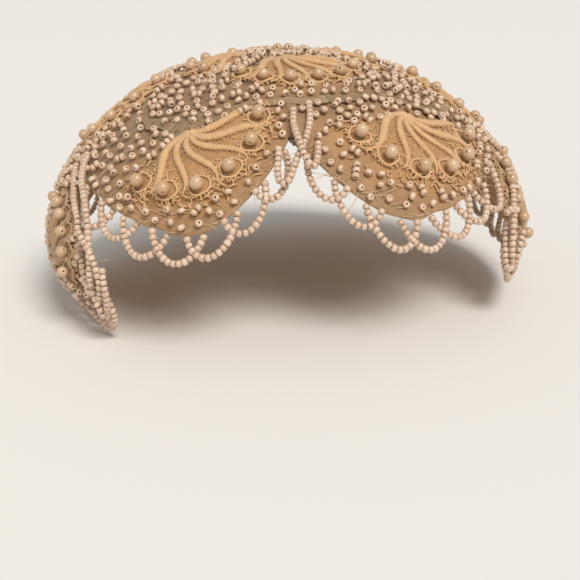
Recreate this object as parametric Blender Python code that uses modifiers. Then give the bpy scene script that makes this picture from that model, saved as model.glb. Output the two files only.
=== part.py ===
"""Beaded lace hat: a stiffened net crown with six cupped petals, lace fans, pearls and swags of beads.

The frame has +Z up and the wearer's front at -Y. The origin is where the inside of the crown sits on
the head. The hat is a shell over a dome, and every piece is laid on that dome at its own height.
A place on the dome is a ring angle from the front notch and an angle from the top, in degrees.
"""
from math import atan2, cos, degrees, hypot, pi, radians, sin

import bmesh
import bpy
import numpy as np
from mathutils import Vector

MM = 0.001

# The dome that the inside of the crown follows
HALF_WIDTH = 91.5 * MM
HALF_DEPTH = 90.0 * MM
DOME_RISE = 74.5 * MM
TURN = 4                        # degrees that the petals are turned round the dome

# How the petals leave the dome: they swing out at their widest and curl in at their tips
FLARE = 3.4 * MM
FLARE_FROM, FLARE_TO = 46, 112
CURL = 4.0 * MM
CURL_FROM, CURL_TO = 84, 100

# Walls, beads and clearances
CLEARANCE = 0.3 * MM
LAYER_GAP = 0.5 * MM
CROWN_WALL = 1.4 * MM
PETAL_WALL = 1.5 * MM
LACE_WALL = 1.0 * MM
LACE_RIB = 0.9 * MM
PEARL_DIAMETER = 5.0 * MM
PEARL_SINK = 0.7 * MM
TOP_PEARL_DIAMETER = 4.0 * MM
STRING_DIAMETER = 2.7 * MM

# Angles from the top of the crown's rim and of the ring where the petals start
CROWN_RIM = 45
PETAL_ROOT = 27

# Heights over the inside of the crown
CROWN_TOP = CROWN_WALL
PETAL_TOP = CROWN_TOP + LAYER_GAP + PETAL_WALL

# Petals: the side of the hat (+1 is +X), the ring angles where a petal starts and ends, how far down
# its edge lies at the start, the tip and the end, where its tip is as a share of its width, how many
# degrees its start leans out past the start's ring angle at the tip's level, and how square the lobe is
# before and after its tip.
PETAL_NAMES = ("name", "side", "start", "end", "start_edge", "tip_edge", "end_edge", "tip_at", "lean",
               "square_start", "square_end")
PETAL_TABLE = [
    ("front_petal_left", -1, 3, 64, 46, 71.5, 63, 0.37, 0, 1.6, 1.4),
    ("front_petal_right", 1, 0, 64, 46, 69.5, 62, 0.40, 0, 1.6, 1.4),
    ("side_petal_left", -1, 64, 124, 63, 98, 76, 0.45, 38, 4.0, 2.2),
    ("side_petal_right", 1, 64, 124, 62, 90, 76, 0.50, 34, 3.4, 3.0),
    ("back_petal_left", -1, 180, 124, 54, 82, 76, 0.45, 0, 1.8, 1.6),
    ("back_petal_right", 1, 180, 124, 54, 82, 76, 0.45, 0, 1.8, 1.6),
]
LEAN_CURVE = 1.5                # power that the lean grows by, down the petal
COLUMNS_BEFORE_TIP, COLUMNS_AFTER_TIP = 4, 5
PETAL_ROW = 8                   # degrees down the dome that a row of faces takes
CROWN_COLUMNS, CROWN_ROWS = 28, 4

# Lace fans: where the apex is, the way the fan heads (0 is down the dome, + is to the back), half
# its spread in degrees, its reach as a share of FAN_REACH, its pearls, whether they are loose, and
# their size as a share of PEARL_DIAMETER.
FAN_REACH = 25 * MM
FAN_NAMES = ("name", "side", "ring", "polar", "heading", "spread", "reach", "pearls", "loose",
             "size")
FAN_TABLE = [
    ("crown_lace_front", 1, 8, 8, 0, 60, 1.00, 6, False, 0.88),
    ("crown_lace_left", -1, 92, 9, 0, 42, 0.92, 4, False, 0.88),
    ("crown_lace_right", 1, 110, 9, 0, 42, 0.92, 4, False, 0.88),
    ("crown_lace_back", 1, 188, 8, 0, 42, 0.92, 4, False, 0.88),
    ("front_lace_left", -1, 34, 45, -46, 70, 0.99, 6, True, 1.00),
    ("front_lace_right", 1, 40, 42.5, -14, 70, 1.02, 6, True, 1.00),
    ("side_upper_lace_left", -1, 97, 42, -80, 58, 0.90, 5, False, 0.88),
    ("side_upper_lace_right", 1, 98, 42, -80, 58, 0.90, 5, False, 0.88),
    ("side_lower_lace_left", -1, 72.5, 85.5, -135, 53, 0.80, 6, True, 0.88),
    ("side_lower_lace_right", 1, 74.5, 75.5, -112, 53, 0.80, 6, True, 0.88),
    ("back_lace_left", -1, 146, 41, 22, 60, 0.92, 4, False, 0.88),
    ("back_lace_right", 1, 146, 41, 22, 60, 0.92, 4, False, 0.88),
]
FAN_HUB = 0.14                  # share of the reach where the cords gather
FAN_RING = 0.17                 # share of the reach that the lace stands past the pearls
FAN_NOTCH = 0.07                # depth of the notch between two rings, as a share of the reach
FAN_SWAY = 6                    # degrees that the cords sway as they run out
FAN_ROWS = 3

# Swags of beads: how many hang from each petal, the shares of the edge where they start and end,
# and how deep they hang, as a share of SWAG_DROP
SWAG_DROP = 11 * MM
STEEP_DROP = 0.4                # share of the drop that is left where the edge runs straight down
SWAG_NAMES = ("petal", "count", "start", "end", "drop")
SWAG_TABLE = [
    ("front_petal_left", 7, 0.06, 0.94, 0.82),
    ("front_petal_right", 7, 0.08, 0.93, 0.9),
    ("side_petal_left", 10, 0.09, 0.96, 0.78),
    ("side_petal_right", 10, 0.12, 0.92, 0.78),
    ("back_petal_left", 6, 0.08, 0.93, 0.82),
    ("back_petal_right", 6, 0.08, 0.93, 0.82),
]
POINTS_PER_SWAG = 5
EDGE_SAMPLES = 80
EDGE_STEP = 0.01                # share of a petal's width between two points that give its edge's way

PEARL_SIDES, PEARL_RINGS = 8, 4

COLORS = {
    "crown_net": (0.32, 0.26, 0.19),
    "petal_net": (0.62, 0.46, 0.31),
    "lace_cord": (0.74, 0.55, 0.36),
    "pearl": (0.80, 0.66, 0.50),
    "bead_string": (0.82, 0.68, 0.56),
}


def rows(names, table):
    """Each row of a table as a dictionary of its named columns."""
    return [dict(zip(names, row)) for row in table]


def clear_scene():
    """Remove what Blender starts with."""
    for piece in list(bpy.data.objects):
        bpy.data.objects.remove(piece, do_unlink=True)


def make_collection(name):
    """A collection linked to the scene."""
    collection = bpy.data.collections.new(name)
    bpy.context.scene.collection.children.link(collection)
    return collection


def make_material(name, color, roughness):
    """A Principled material of one colour."""
    material = bpy.data.materials.new(name)
    material.use_nodes = True
    shader = material.node_tree.nodes["Principled BSDF"]
    shader.inputs["Base Color"].default_value = (*color, 1.0)
    shader.inputs["Roughness"].default_value = roughness
    shader.inputs["Metallic"].default_value = 0.0
    return material


def stand_out(polar):
    """How far the petals stand out from the dome at an angle from the top; negative is inwards."""
    flare = min(max((polar - FLARE_FROM) / (FLARE_TO - FLARE_FROM), 0), 1)
    curl = max(0, (polar - CURL_FROM) / (CURL_TO - CURL_FROM))
    return FLARE * sin(pi * flare) - CURL * curl ** 2


def on_dome(ring, polar, height):
    """The point at a ring angle, an angle from the top and a height over the dome."""
    around, down = radians(ring + TURN), radians(polar)
    out = height + stand_out(polar)
    return Vector((
        (HALF_WIDTH + out) * sin(down) * sin(around),
        -(HALF_DEPTH + out) * sin(down) * cos(around),
        (DOME_RISE + height) * cos(down) - DOME_RISE,
    ))


def directions(ring, polar):
    """The unit directions along the ring, down the dome and out of it."""
    step = 0.5
    along = (on_dome(ring + step, polar, 0) - on_dome(ring - step, polar, 0)).normalized()
    down = (on_dome(ring, polar + step, 0) - on_dome(ring, polar - step, 0)).normalized()
    return along, down, down.cross(along).normalized()


def place_on_dome(point):
    """The ring angle and the angle from the top of the place on the dome that lies under a point."""
    polar = degrees(atan2(hypot(point.x, point.y) / HALF_WIDTH, (point.z + DOME_RISE) / DOME_RISE))
    for _ in range(6):
        swell = stand_out(polar)
        x, y = point.x / (HALF_WIDTH + swell), point.y / (HALF_DEPTH + swell)
        polar = degrees(atan2(hypot(x, y), (point.z + DOME_RISE) / DOME_RISE))
    return degrees(atan2(x, -y)) - TURN, polar


def face_outwards(mesh_data):
    """Turn an open sheet over if its faces point into the dome."""
    centre = Vector((0, 0, -DOME_RISE))
    lean = sum(face.normal.dot(face.calc_center_median() - centre) for face in mesh_data.faces)
    if lean < 0:
        bmesh.ops.reverse_faces(mesh_data, faces=mesh_data.faces)


def sheet_object(name, columns, lines, shape, material, collection):
    """A grid of columns and lines whose points are moved to shape(across, along), both from 0 to 1."""
    sheet = bmesh.new()
    bmesh.ops.create_grid(sheet, x_segments=columns, y_segments=lines, size=0.5)
    for vertex in sheet.verts:
        vertex.co = shape(vertex.co.x + 0.5, vertex.co.y + 0.5)
    sheet.normal_update()
    face_outwards(sheet)
    return mesh_object(name, sheet, material, collection)


def mesh_object(name, mesh_data, material, collection):
    """A smooth mesh object made from a bmesh, which is freed."""
    mesh = bpy.data.meshes.new(name)
    mesh_data.to_mesh(mesh)
    mesh_data.free()
    mesh.shade_smooth()
    piece = bpy.data.objects.new(name, mesh)
    if material:
        piece.data.materials.append(material)
    collection.objects.link(piece)
    return piece


def add_wall(piece, thickness):
    """Give an open sheet its wall, inwards from the sheet."""
    wall = piece.modifiers.new("wall", "SOLIDIFY")
    wall.thickness = thickness
    wall.offset = -1


def make_crown(material, collection):
    """The crown cap: the upper part of a sphere, spread over the dome down to the rim."""
    cap = bmesh.new()
    bmesh.ops.create_uvsphere(cap, u_segments=CROWN_COLUMNS, v_segments=2 * CROWN_ROWS, radius=1)
    lower = [vertex for vertex in cap.verts if vertex.co.z < -0.01]
    bmesh.ops.delete(cap, geom=lower, context="VERTS")
    for vertex in cap.verts:
        share = atan2(hypot(vertex.co.x, vertex.co.y), vertex.co.z) / (pi / 2)
        ring = degrees(atan2(vertex.co.x, -vertex.co.y)) - TURN
        vertex.co = on_dome(ring, share * CROWN_RIM, CROWN_TOP)
    cap.normal_update()
    face_outwards(cap)
    add_wall(mesh_object("crown_cap", cap, material, collection), CROWN_WALL)


def edge_polar(petal, share):
    """How far down a petal's edge lies at a share of its width, as a lobe with a rounded tip."""
    if share < petal["tip_at"]:
        reach = (petal["tip_at"] - share) / petal["tip_at"]
        return petal["tip_edge"] - (petal["tip_edge"] - petal["start_edge"]) * reach ** petal["square_start"]
    reach = (share - petal["tip_at"]) / (1 - petal["tip_at"])
    return petal["tip_edge"] - (petal["tip_edge"] - petal["end_edge"]) * reach ** petal["square_end"]


def petal_ring(petal, share, polar):
    """The ring angle of a petal at a share of its width, clear of its neighbours by CLEARANCE.

    The lean is whole at the start of the petal and dies away to nothing at its end.
    """
    span = petal["end"] - petal["start"]
    gap = degrees(CLEARANCE / (HALF_DEPTH * sin(radians(polar)))) * (1 if span > 0 else -1)
    ring = petal["start"] + gap / 2 + share * (span - gap)
    below = max(0, polar - petal["start_edge"]) / (petal["tip_edge"] - petal["start_edge"])
    return petal["side"] * (ring - petal["lean"] * (1 - share) * below ** LEAN_CURVE)


def petal_point(petal, share, polar, height):
    """A point over a petal at a share of its width and an angle from the top."""
    return on_dome(petal_ring(petal, share, polar), polar, height)


def make_petal(petal, material, collection):
    """One petal: a lobe from the root ring to its edge, with more columns where the edge is steep."""
    columns = COLUMNS_BEFORE_TIP + COLUMNS_AFTER_TIP
    turning = COLUMNS_BEFORE_TIP / columns
    lines = round((petal["tip_edge"] - PETAL_ROOT) / PETAL_ROW)

    def shape(across, along):
        if across < turning:
            share = petal["tip_at"] * across / turning
        else:
            share = petal["tip_at"] + (1 - petal["tip_at"]) * (across - turning) / (1 - turning)
        polar = PETAL_ROOT + along * (edge_polar(petal, share) - PETAL_ROOT)
        return petal_point(petal, share, polar, PETAL_TOP)

    add_wall(sheet_object(petal["name"], columns, lines, shape, material, collection), PETAL_WALL)


def fan_place(fan, angle, reach):
    """The place on the dome at an angle from a fan's heading and a distance from its apex."""
    ring, polar = fan["side"] * fan["ring"], fan["polar"]
    along, down, _ = directions(ring, polar)
    turned = radians(fan["heading"] + angle)
    flat = on_dome(ring, polar, 0) + reach * (cos(turned) * down + fan["side"] * sin(turned) * along)
    return place_on_dome(flat)


def fan_base(fan):
    """The height of the cloth that a fan is sewn on."""
    return CROWN_TOP if fan["name"].startswith("crown") else PETAL_TOP


def make_fan(fan, material, collection, cutters):
    """One lace fan: a sheet with a rib for each cord, its rings past the pearls, and fused pearls."""
    columns = 2 * fan["pearls"]
    widest = fan["spread"] * fan["pearls"] / (fan["pearls"] - 1)
    length = FAN_REACH * fan["reach"]
    base = fan_base(fan) + LAYER_GAP + LACE_WALL

    def shape(across, along):
        rib = sin(pi * across * fan["pearls"]) ** 2
        end = length * (1 + FAN_RING - FAN_NOTCH * (1 - rib))
        start = length * FAN_HUB
        reach = start + along * (end - start)
        sway = FAN_SWAY * sin(2 * pi * along)
        ring, polar = fan_place(fan, widest * (2 * across - 1) + sway, reach)
        return on_dome(ring, polar, base + LACE_RIB * rib * sin(pi * along))

    lace = sheet_object(fan["name"], columns, FAN_ROWS, shape, material, collection)
    add_wall(lace, LACE_WALL)
    if not fan["loose"]:
        fuse_pearls(lace, fan, base, cutters)


def pearl_places(fan):
    """The places on the dome of a fan's pearls, one at the end of each cord."""
    length = FAN_REACH * fan["reach"]
    last = fan["pearls"] - 1
    return [fan_place(fan, fan["spread"] * (2 * index / last - 1), length) for index in range(last + 1)]


def add_pearl(mesh_data, centre, diameter):
    """Add a faceted ball to a bmesh."""
    ball = bmesh.ops.create_uvsphere(
        mesh_data, u_segments=PEARL_SIDES, v_segments=PEARL_RINGS, radius=diameter / 2)
    bmesh.ops.translate(mesh_data, verts=ball["verts"], vec=centre)


def fuse_pearls(lace, fan, base, cutters):
    """Join a fan's pearls to its lace, each sunk a little so that they are one body."""
    pearls = bmesh.new()
    diameter = PEARL_DIAMETER * fan["size"]
    for ring, polar in pearl_places(fan):
        centre = on_dome(ring, polar, base - PEARL_SINK + diameter / 2)
        add_pearl(pearls, centre, diameter)
    guide = mesh_object(fan["name"] + "_pearls", pearls, None, cutters)
    guide.hide_render = True
    guide.display_type = "WIRE"
    join = lace.modifiers.new("pearls", "BOOLEAN")
    join.operation = "UNION"
    join.object = guide


def make_loose_pearls(fan, material, collection):
    """A fan's pearls as pieces of their own, seated on its lace."""
    base = fan_base(fan) + LAYER_GAP + LACE_WALL
    diameter = PEARL_DIAMETER * fan["size"]
    for number, (ring, polar) in enumerate(pearl_places(fan), start=1):
        pearl = bmesh.new()
        centre = on_dome(ring, polar, base + CLEARANCE + diameter / 2)
        add_pearl(pearl, centre, diameter)
        mesh_object(f"{fan['name']}_pearl_{number}", pearl, material, collection)


def make_top_pearls(material, collection):
    """The two pearls sewn side by side on top of the crown."""
    radius = TOP_PEARL_DIAMETER / 2
    for name, side in (("top_pearl_left", -1), ("top_pearl_right", 1)):
        pearl = bmesh.new()
        centre = Vector((side * (radius + CLEARANCE / 2), 0, CROWN_TOP + CLEARANCE + radius))
        add_pearl(pearl, centre, TOP_PEARL_DIAMETER)
        mesh_object(name, pearl, material, collection)


def swag_route(petal, swag):
    """The points of a petal's beaded fringe: swags of equal width that hang down from its edge."""
    shares = np.linspace(0, 1, EDGE_SAMPLES)
    edge = [petal_point(petal, share, edge_polar(petal, share), 0) for share in shares]
    lengths = np.cumsum([0] + [(b - a).length for a, b in zip(edge, edge[1:])])
    stations = np.linspace(swag["start"], swag["end"], swag["count"] * POINTS_PER_SWAG + 1) * lengths[-1]
    middle = PETAL_TOP - PETAL_WALL / 2
    clear = STRING_DIAMETER / 2 + LAYER_GAP + CLEARANCE
    hand = petal["side"] * (1 if petal["end"] > petal["start"] else -1)
    points = []
    for number, share in enumerate(np.interp(stations, lengths, shares)):
        polar = edge_polar(petal, share)
        place = petal_point(petal, share, polar, middle)
        ahead = petal_point(petal, share + EDGE_STEP, edge_polar(petal, share + EDGE_STEP), middle)
        _, down, out = directions(petal_ring(petal, share, polar), polar)
        off_edge = hand * (ahead - place).cross(out).normalized()
        level = max(0, off_edge.dot(down))
        hang = (level * down + (1 - level) * off_edge).normalized()
        drop = SWAG_DROP * swag["drop"] * (STEEP_DROP + (1 - STEEP_DROP) * level)
        points.append(place + clear * off_edge + drop * sin(pi * number / POINTS_PER_SWAG) ** 2 * hang)
    return points


def make_fringe(petal, swag, material, collection):
    """One petal's beaded fringe as a tube along its swags."""
    name = petal["name"].replace("petal", "fringe")
    points = swag_route(petal, swag)
    curve = bpy.data.curves.new(name, "CURVE")
    curve.dimensions = "3D"
    curve.bevel_depth = STRING_DIAMETER / 2
    curve.bevel_resolution = 2
    curve.use_fill_caps = True
    spline = curve.splines.new("POLY")
    spline.points.add(len(points) - 1)
    for point, place in zip(spline.points, points):
        point.co = (*place, 1)
    curve.materials.append(material)
    collection.objects.link(bpy.data.objects.new(name, curve))


def main():
    """Build the hat."""
    clear_scene()
    hat = make_collection("beaded_lace_hat")
    cutters = make_collection("cutters")
    crown_net = make_material("crown_net", COLORS["crown_net"], 0.9)
    petal_net = make_material("petal_net", COLORS["petal_net"], 0.85)
    lace_cord = make_material("lace_cord", COLORS["lace_cord"], 0.6)
    pearl = make_material("pearl", COLORS["pearl"], 0.3)
    bead_string = make_material("bead_string", COLORS["bead_string"], 0.2)

    make_crown(crown_net, hat)
    petals = rows(PETAL_NAMES, PETAL_TABLE)
    for petal in petals:
        make_petal(petal, petal_net, hat)
    for fan in rows(FAN_NAMES, FAN_TABLE):
        make_fan(fan, lace_cord, hat, cutters)
        if fan["loose"]:
            make_loose_pearls(fan, pearl, hat)
    make_top_pearls(pearl, hat)
    for petal, swag in zip(petals, rows(SWAG_NAMES, SWAG_TABLE)):
        make_fringe(petal, swag, bead_string, hat)


main()
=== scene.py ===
"""Beaded lace hat: the looks of every surface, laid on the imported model.

Everything lies on one dome, as in the part's source. A place on it is a ring angle round the dome from
the front notch, an angle from the top, both in degrees, and a height over the inside of the crown.
Shapes are numpy arrays: grids and profiles carried along paths, put into meshes as whole arrays.
"""
import logging
from collections.abc import Sequence
from dataclasses import dataclass, field, replace
from enum import Enum

import bpy
import numpy as np
from bpy.types import Material, Node, NodeSocket, NodeTree, Object
from mathutils import Matrix, Vector


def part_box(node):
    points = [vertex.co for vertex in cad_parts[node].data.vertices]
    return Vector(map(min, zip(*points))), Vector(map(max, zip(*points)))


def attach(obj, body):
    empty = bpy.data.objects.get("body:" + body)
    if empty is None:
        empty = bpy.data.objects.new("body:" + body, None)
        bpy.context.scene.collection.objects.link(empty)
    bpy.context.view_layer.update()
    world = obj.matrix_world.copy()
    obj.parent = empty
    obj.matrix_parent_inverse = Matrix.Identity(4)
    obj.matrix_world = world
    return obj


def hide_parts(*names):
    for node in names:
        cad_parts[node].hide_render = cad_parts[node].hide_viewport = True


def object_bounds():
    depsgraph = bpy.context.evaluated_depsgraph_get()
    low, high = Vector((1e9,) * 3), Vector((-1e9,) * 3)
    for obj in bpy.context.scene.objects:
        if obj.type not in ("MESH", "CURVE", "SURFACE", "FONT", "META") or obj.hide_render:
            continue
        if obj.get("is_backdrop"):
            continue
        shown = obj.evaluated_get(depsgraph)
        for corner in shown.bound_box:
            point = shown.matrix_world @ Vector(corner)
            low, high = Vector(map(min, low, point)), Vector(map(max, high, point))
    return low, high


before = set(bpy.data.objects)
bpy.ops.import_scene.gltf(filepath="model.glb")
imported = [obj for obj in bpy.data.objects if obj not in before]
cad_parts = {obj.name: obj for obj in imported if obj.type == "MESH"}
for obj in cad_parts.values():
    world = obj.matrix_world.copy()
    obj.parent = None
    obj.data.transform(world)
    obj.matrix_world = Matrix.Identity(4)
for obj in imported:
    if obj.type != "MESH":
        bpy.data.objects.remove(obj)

Array = np.ndarray
Colour = tuple[float, float, float]
MM = 0.001
TURN = 2 * np.pi
BODY = "root"
SEED = 11

logging.basicConfig(level=logging.INFO, format="%(message)s")
log = logging.getLogger("hat")


# Plain geometry


def smooth(low: float, high: float, value: Array) -> Array:
    """A smooth step from 0 at low to 1 at high: 3t^2 - 2t^3, where t runs from 0 to 1 between them."""
    t = np.clip((value - low) / (high - low), 0, 1)
    return t * t * (3 - 2 * t)


def unit(vectors: Array) -> Array:
    """Vectors scaled to length 1."""
    return vectors / np.maximum(np.linalg.norm(vectors, axis=-1, keepdims=True), 1e-12)


def ripple(u: Array, v: Array, seed: int, waves: int = 7) -> Array:
    """Gentle unevenness from -1 to 1 or so.

    The sum of some sine waves of random direction, length and phase over u and v, divided by the
    square root of their number.

    Args:
        u: One coordinate, in waves of length 1 or more.
        v: The other coordinate.
        seed: Chooses the waves.
        waves: How many waves are added.

    Returns:
        An array of the shape of both together.
    """
    random = np.random.default_rng(seed)
    total = np.zeros(np.broadcast(u, v).shape)
    for _ in range(waves):
        turn, rate, phase = random.uniform(0, TURN), random.uniform(0.4, 1.0), random.uniform(0, TURN)
        total += np.sin(TURN * rate * (u * np.cos(turn) + v * np.sin(turn)) + phase)
    return total / np.sqrt(waves)


@dataclass(frozen=True)
class Dome:
    """The dome that every layer of the hat is laid on, with the sizes of the part's source."""

    half_width: float = 91.5 * MM
    half_depth: float = 90.0 * MM
    rise: float = 74.5 * MM
    turn: float = 4
    flare: float = 3.4 * MM
    flare_from: float = 46
    flare_to: float = 112
    curl: float = 4.0 * MM
    curl_from: float = 84
    curl_to: float = 100

    def stand_out(self, polar: Array) -> Array:
        """How far the petals stand out: half a sine wave of the flare, less the curl squared.

        Args:
            polar: Angles from the top.

        Returns:
            Distances out of the dome, negative where the petals curl in.
        """
        flare = np.clip((polar - self.flare_from) / (self.flare_to - self.flare_from), 0, 1)
        curl = np.maximum(0, (polar - self.curl_from) / (self.curl_to - self.curl_from))
        return self.flare * np.sin(np.pi * flare) - self.curl * curl ** 2

    def point(self, ring: Array, polar: Array, height: Array) -> Array:
        """Points on the dome.

        An ellipsoid: each half axis and the height, times the sine or cosine of the two angles.

        Args:
            ring: Angles round the dome, in degrees.
            polar: Angles from the top, in degrees.
            height: Heights over the inside of the crown, in metres.

        Returns:
            Points in the last axis.
        """
        around, down = np.radians(ring + self.turn), np.radians(polar)
        out = height + self.stand_out(polar)
        return np.stack(np.broadcast_arrays(
            (self.half_width + out) * np.sin(down) * np.sin(around),
            -(self.half_depth + out) * np.sin(down) * np.cos(around),
            (self.rise + height) * np.cos(down) - self.rise), axis=-1)

    def directions(self, ring: Array, polar: Array) -> tuple[Array, Array, Array]:
        """The unit directions along the ring, down the dome and out of it, by half a degree's step.

        Args:
            ring: Ring angles.
            polar: Angles from the top.

        Returns:
            The three directions, each in the last axis.
        """
        step = 0.5
        along = unit(self.point(ring + step, polar, 0) - self.point(ring - step, polar, 0))
        down = unit(self.point(ring, polar + step, 0) - self.point(ring, polar - step, 0))
        return along, down, unit(np.cross(down, along))

    def place(self, points: Array) -> tuple[Array, Array]:
        """The ring angles and angles from the top of the places that lie under points.

        Args:
            points: Points near the dome.

        Returns:
            Ring angles, and angles from the top.
        """
        lifted = (points[..., 2] + self.rise) / self.rise
        flat = np.hypot(points[..., 0], points[..., 1])
        polar = np.degrees(np.arctan2(flat / self.half_width, lifted))
        for _ in range(6):
            swell = self.stand_out(polar)
            x, y = points[..., 0] / (self.half_width + swell), points[..., 1] / (self.half_depth + swell)
            polar = np.degrees(np.arctan2(np.hypot(x, y), lifted))
        return np.degrees(np.arctan2(x, -y)) - self.turn, polar

    def cloth_uv(self, ring: Array, polar: Array) -> Array:
        """UV pairs in metres of cloth: each angle's arc on its half axis."""
        return np.stack([np.radians(ring) * self.half_width, np.radians(polar) * self.half_depth], axis=-1)

    def lay(self, ring: Array, polar: Array, across: Array, down: Array, height: Array) -> Array:
        """Points laid on the dome from flat coordinates round an anchor place.

        Args:
            ring: Ring angle of the anchor.
            polar: Angle from the top of the anchor.
            across: Distances along the ring.
            down: Distances down the dome.
            height: Heights over the inside of the crown.

        Returns:
            The points, each straight over the place that lies under its flat point.
        """
        along, fall, _ = self.directions(ring, polar)
        flat = self.point(ring, polar, 0) + across[..., None] * along + down[..., None] * fall
        return self.point(*self.place(flat), height)


DOME = Dome()


@dataclass(frozen=True)
class Layers:
    """Walls and heights over the inside of the crown."""

    clearance: float = 0.3 * MM
    gap: float = 0.5 * MM
    crown_wall: float = 1.4 * MM
    petal_wall: float = 1.5 * MM
    lace_wall: float = 1.0 * MM
    crown_rim: float = 45
    petal_root: float = 27

    @property
    def crown_top(self) -> float:
        """The height of the crown's outer face."""
        return self.crown_wall

    @property
    def petal_top(self) -> float:
        """The height of the petals' outer face."""
        return self.crown_top + self.gap + self.petal_wall


LAYERS = Layers()


# Meshes as arrays


@dataclass
class Patch:
    """A mesh before it is made: points, faces, a UV pair for each point, and marks for materials."""

    points: Array
    faces: list[Array]
    uv: Array
    marks: dict[str, Array] = field(default_factory=dict)

    def marked(self, name: str, values: Array | float) -> "Patch":
        """The same patch with one more mark, a number for each point.

        Args:
            name: The mark's name.
            values: One number for all points, or one for each.

        Returns:
            The new patch.
        """
        marks = dict(self.marks)
        marks[name] = np.broadcast_to(np.asarray(values, dtype=float), (len(self.points),))
        return replace(self, marks=marks)


def joined(patches: list[Patch]) -> Patch:
    """Several patches as one, the faces of each counted on from the points before it.

    Args:
        patches: The patches, each with its own marks.

    Returns:
        One patch. A mark is 0 where a patch lacks it.
    """
    starts = np.cumsum([0] + [len(patch.points) for patch in patches[:-1]])
    names = {name for patch in patches for name in patch.marks}
    return Patch(
        np.concatenate([patch.points for patch in patches]),
        [faces + start for patch, start in zip(patches, starts) for faces in patch.faces],
        np.concatenate([patch.uv for patch in patches]),
        {name: np.concatenate([patch.marks.get(name, np.zeros(len(patch.points))) for patch in patches])
         for name in sorted(names)},
    )


def grid_faces(rows: int, columns: int, wrap_rows: bool = False, wrap_columns: bool = False) -> Array:
    """Quads of a grid of points numbered row by row, closed round on the sides that wrap.

    Args:
        rows: Rows of points.
        columns: Points in a row.
        wrap_rows: Whether the last row joins the first.
        wrap_columns: Whether each row closes round.

    Returns:
        Four point numbers for each quad.
    """
    row = np.arange(rows if wrap_rows else rows - 1)
    column = np.arange(columns if wrap_columns else columns - 1)
    here, ahead = np.meshgrid(row, column, indexing="ij")
    below, beside = (here + 1) % rows, (ahead + 1) % columns
    return np.stack([here * columns + ahead, below * columns + ahead,
                     below * columns + beside, here * columns + beside], axis=-1).reshape(-1, 4)


def shell(outer: Array, inner: Array, uv: Array) -> Patch:
    """A closed sheet from two grids of points, joined all round their borders.

    Args:
        outer: Points of the outer face, rows by columns by 3.
        inner: Points of the inner face, with the same layout.
        uv: UV pairs of both faces, in metres of cloth.

    Returns:
        The patch, with the mark inner at 1 on the inner face.
    """
    rows, columns = outer.shape[:2]
    face = grid_faces(rows, columns)
    count = rows * columns
    number = np.arange(count).reshape(rows, columns)
    border = np.concatenate([number[0, :-1], number[:-1, -1], number[-1, :0:-1], number[:0:-1, 0]])
    rim = np.stack([border, np.roll(border, -1), np.roll(border, -1) + count, border + count], axis=-1)
    points = np.concatenate([outer.reshape(-1, 3), inner.reshape(-1, 3)])
    patch = Patch(points, [face, face[:, ::-1] + count, rim[:, ::-1]],
                  np.concatenate([uv.reshape(-1, 2)] * 2))
    return patch.marked("inner", np.repeat([0.0, 1.0], count))


def tubes(paths: Array, ups: Array, wide: Array, high: Array, sides: int = 6,
          closed: bool = False) -> Patch:
    """Cords of one number of points each, as tubes with an oval section.

    At each point the section is wide times the cosine of an angle to the side and high times its sine
    up. Open tubes end in a point at each end.

    Args:
        paths: Centre lines, cords by points by 3.
        ups: Directions out of the cloth, with the same layout.
        wide: Half widths, cords by points, or cords by points by corners.
        high: Half heights, with the same layout.
        sides: Corners of a section.
        closed: Whether each cord runs round to its own start.

    Returns:
        The patch, with UV as the share round the section and the distance along in millimetres.
    """
    cords, stations = paths.shape[:2]
    if closed:
        tangent = unit(np.roll(paths, -1, axis=1) - np.roll(paths, 1, axis=1))
    else:
        tangent = unit(np.gradient(paths, axis=1))
    side = unit(np.cross(tangent, ups))
    up = np.cross(side, tangent)
    angle = np.arange(sides) * TURN / sides
    wide, high = (size if size.ndim == 3 else size[:, :, None] for size in (wide, high))
    section = ((np.cos(angle) * wide)[..., None] * side[:, :, None]
               + (np.sin(angle) * high)[..., None] * up[:, :, None])
    points = paths[:, :, None] + section
    step = np.linalg.norm(np.diff(paths, axis=1), axis=-1)
    run = np.concatenate([np.zeros((cords, 1)), np.cumsum(step, axis=1)], axis=1) / MM
    uv = np.stack(np.broadcast_arrays(angle / TURN, run[:, :, None]), axis=-1)
    quads = grid_faces(stations, sides, wrap_rows=closed, wrap_columns=True)
    starts = np.arange(cords)[:, None, None] * stations * sides
    faces = [(quads + starts).reshape(-1, 4)]
    flat_points, flat_uv = points.reshape(-1, 3), uv.reshape(-1, 2)
    if not closed:
        tips = len(flat_points)
        flat_points = np.concatenate([flat_points, paths[:, 0] - tangent[:, 0] * high[:, 0, :1],
                                      paths[:, -1] + tangent[:, -1] * high[:, -1, :1]])
        flat_uv = np.concatenate([flat_uv, np.zeros((cords, 2)),
                                  np.stack([np.zeros(cords), run[:, -1]], axis=-1)])
        first = np.arange(sides)
        around = np.stack([first, (first + 1) % sides], axis=-1)
        head, tail = (around + starts), around[:, ::-1] + starts + (stations - 1) * sides
        tip = np.broadcast_to((tips + np.arange(cords))[:, None, None], (cords, sides, 1))
        faces += [np.concatenate([head, tip], axis=-1).reshape(-1, 3),
                  np.concatenate([tail, tip + cords], axis=-1).reshape(-1, 3)]
    return Patch(flat_points, [face[:, ::-1] for face in faces], flat_uv)


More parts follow.
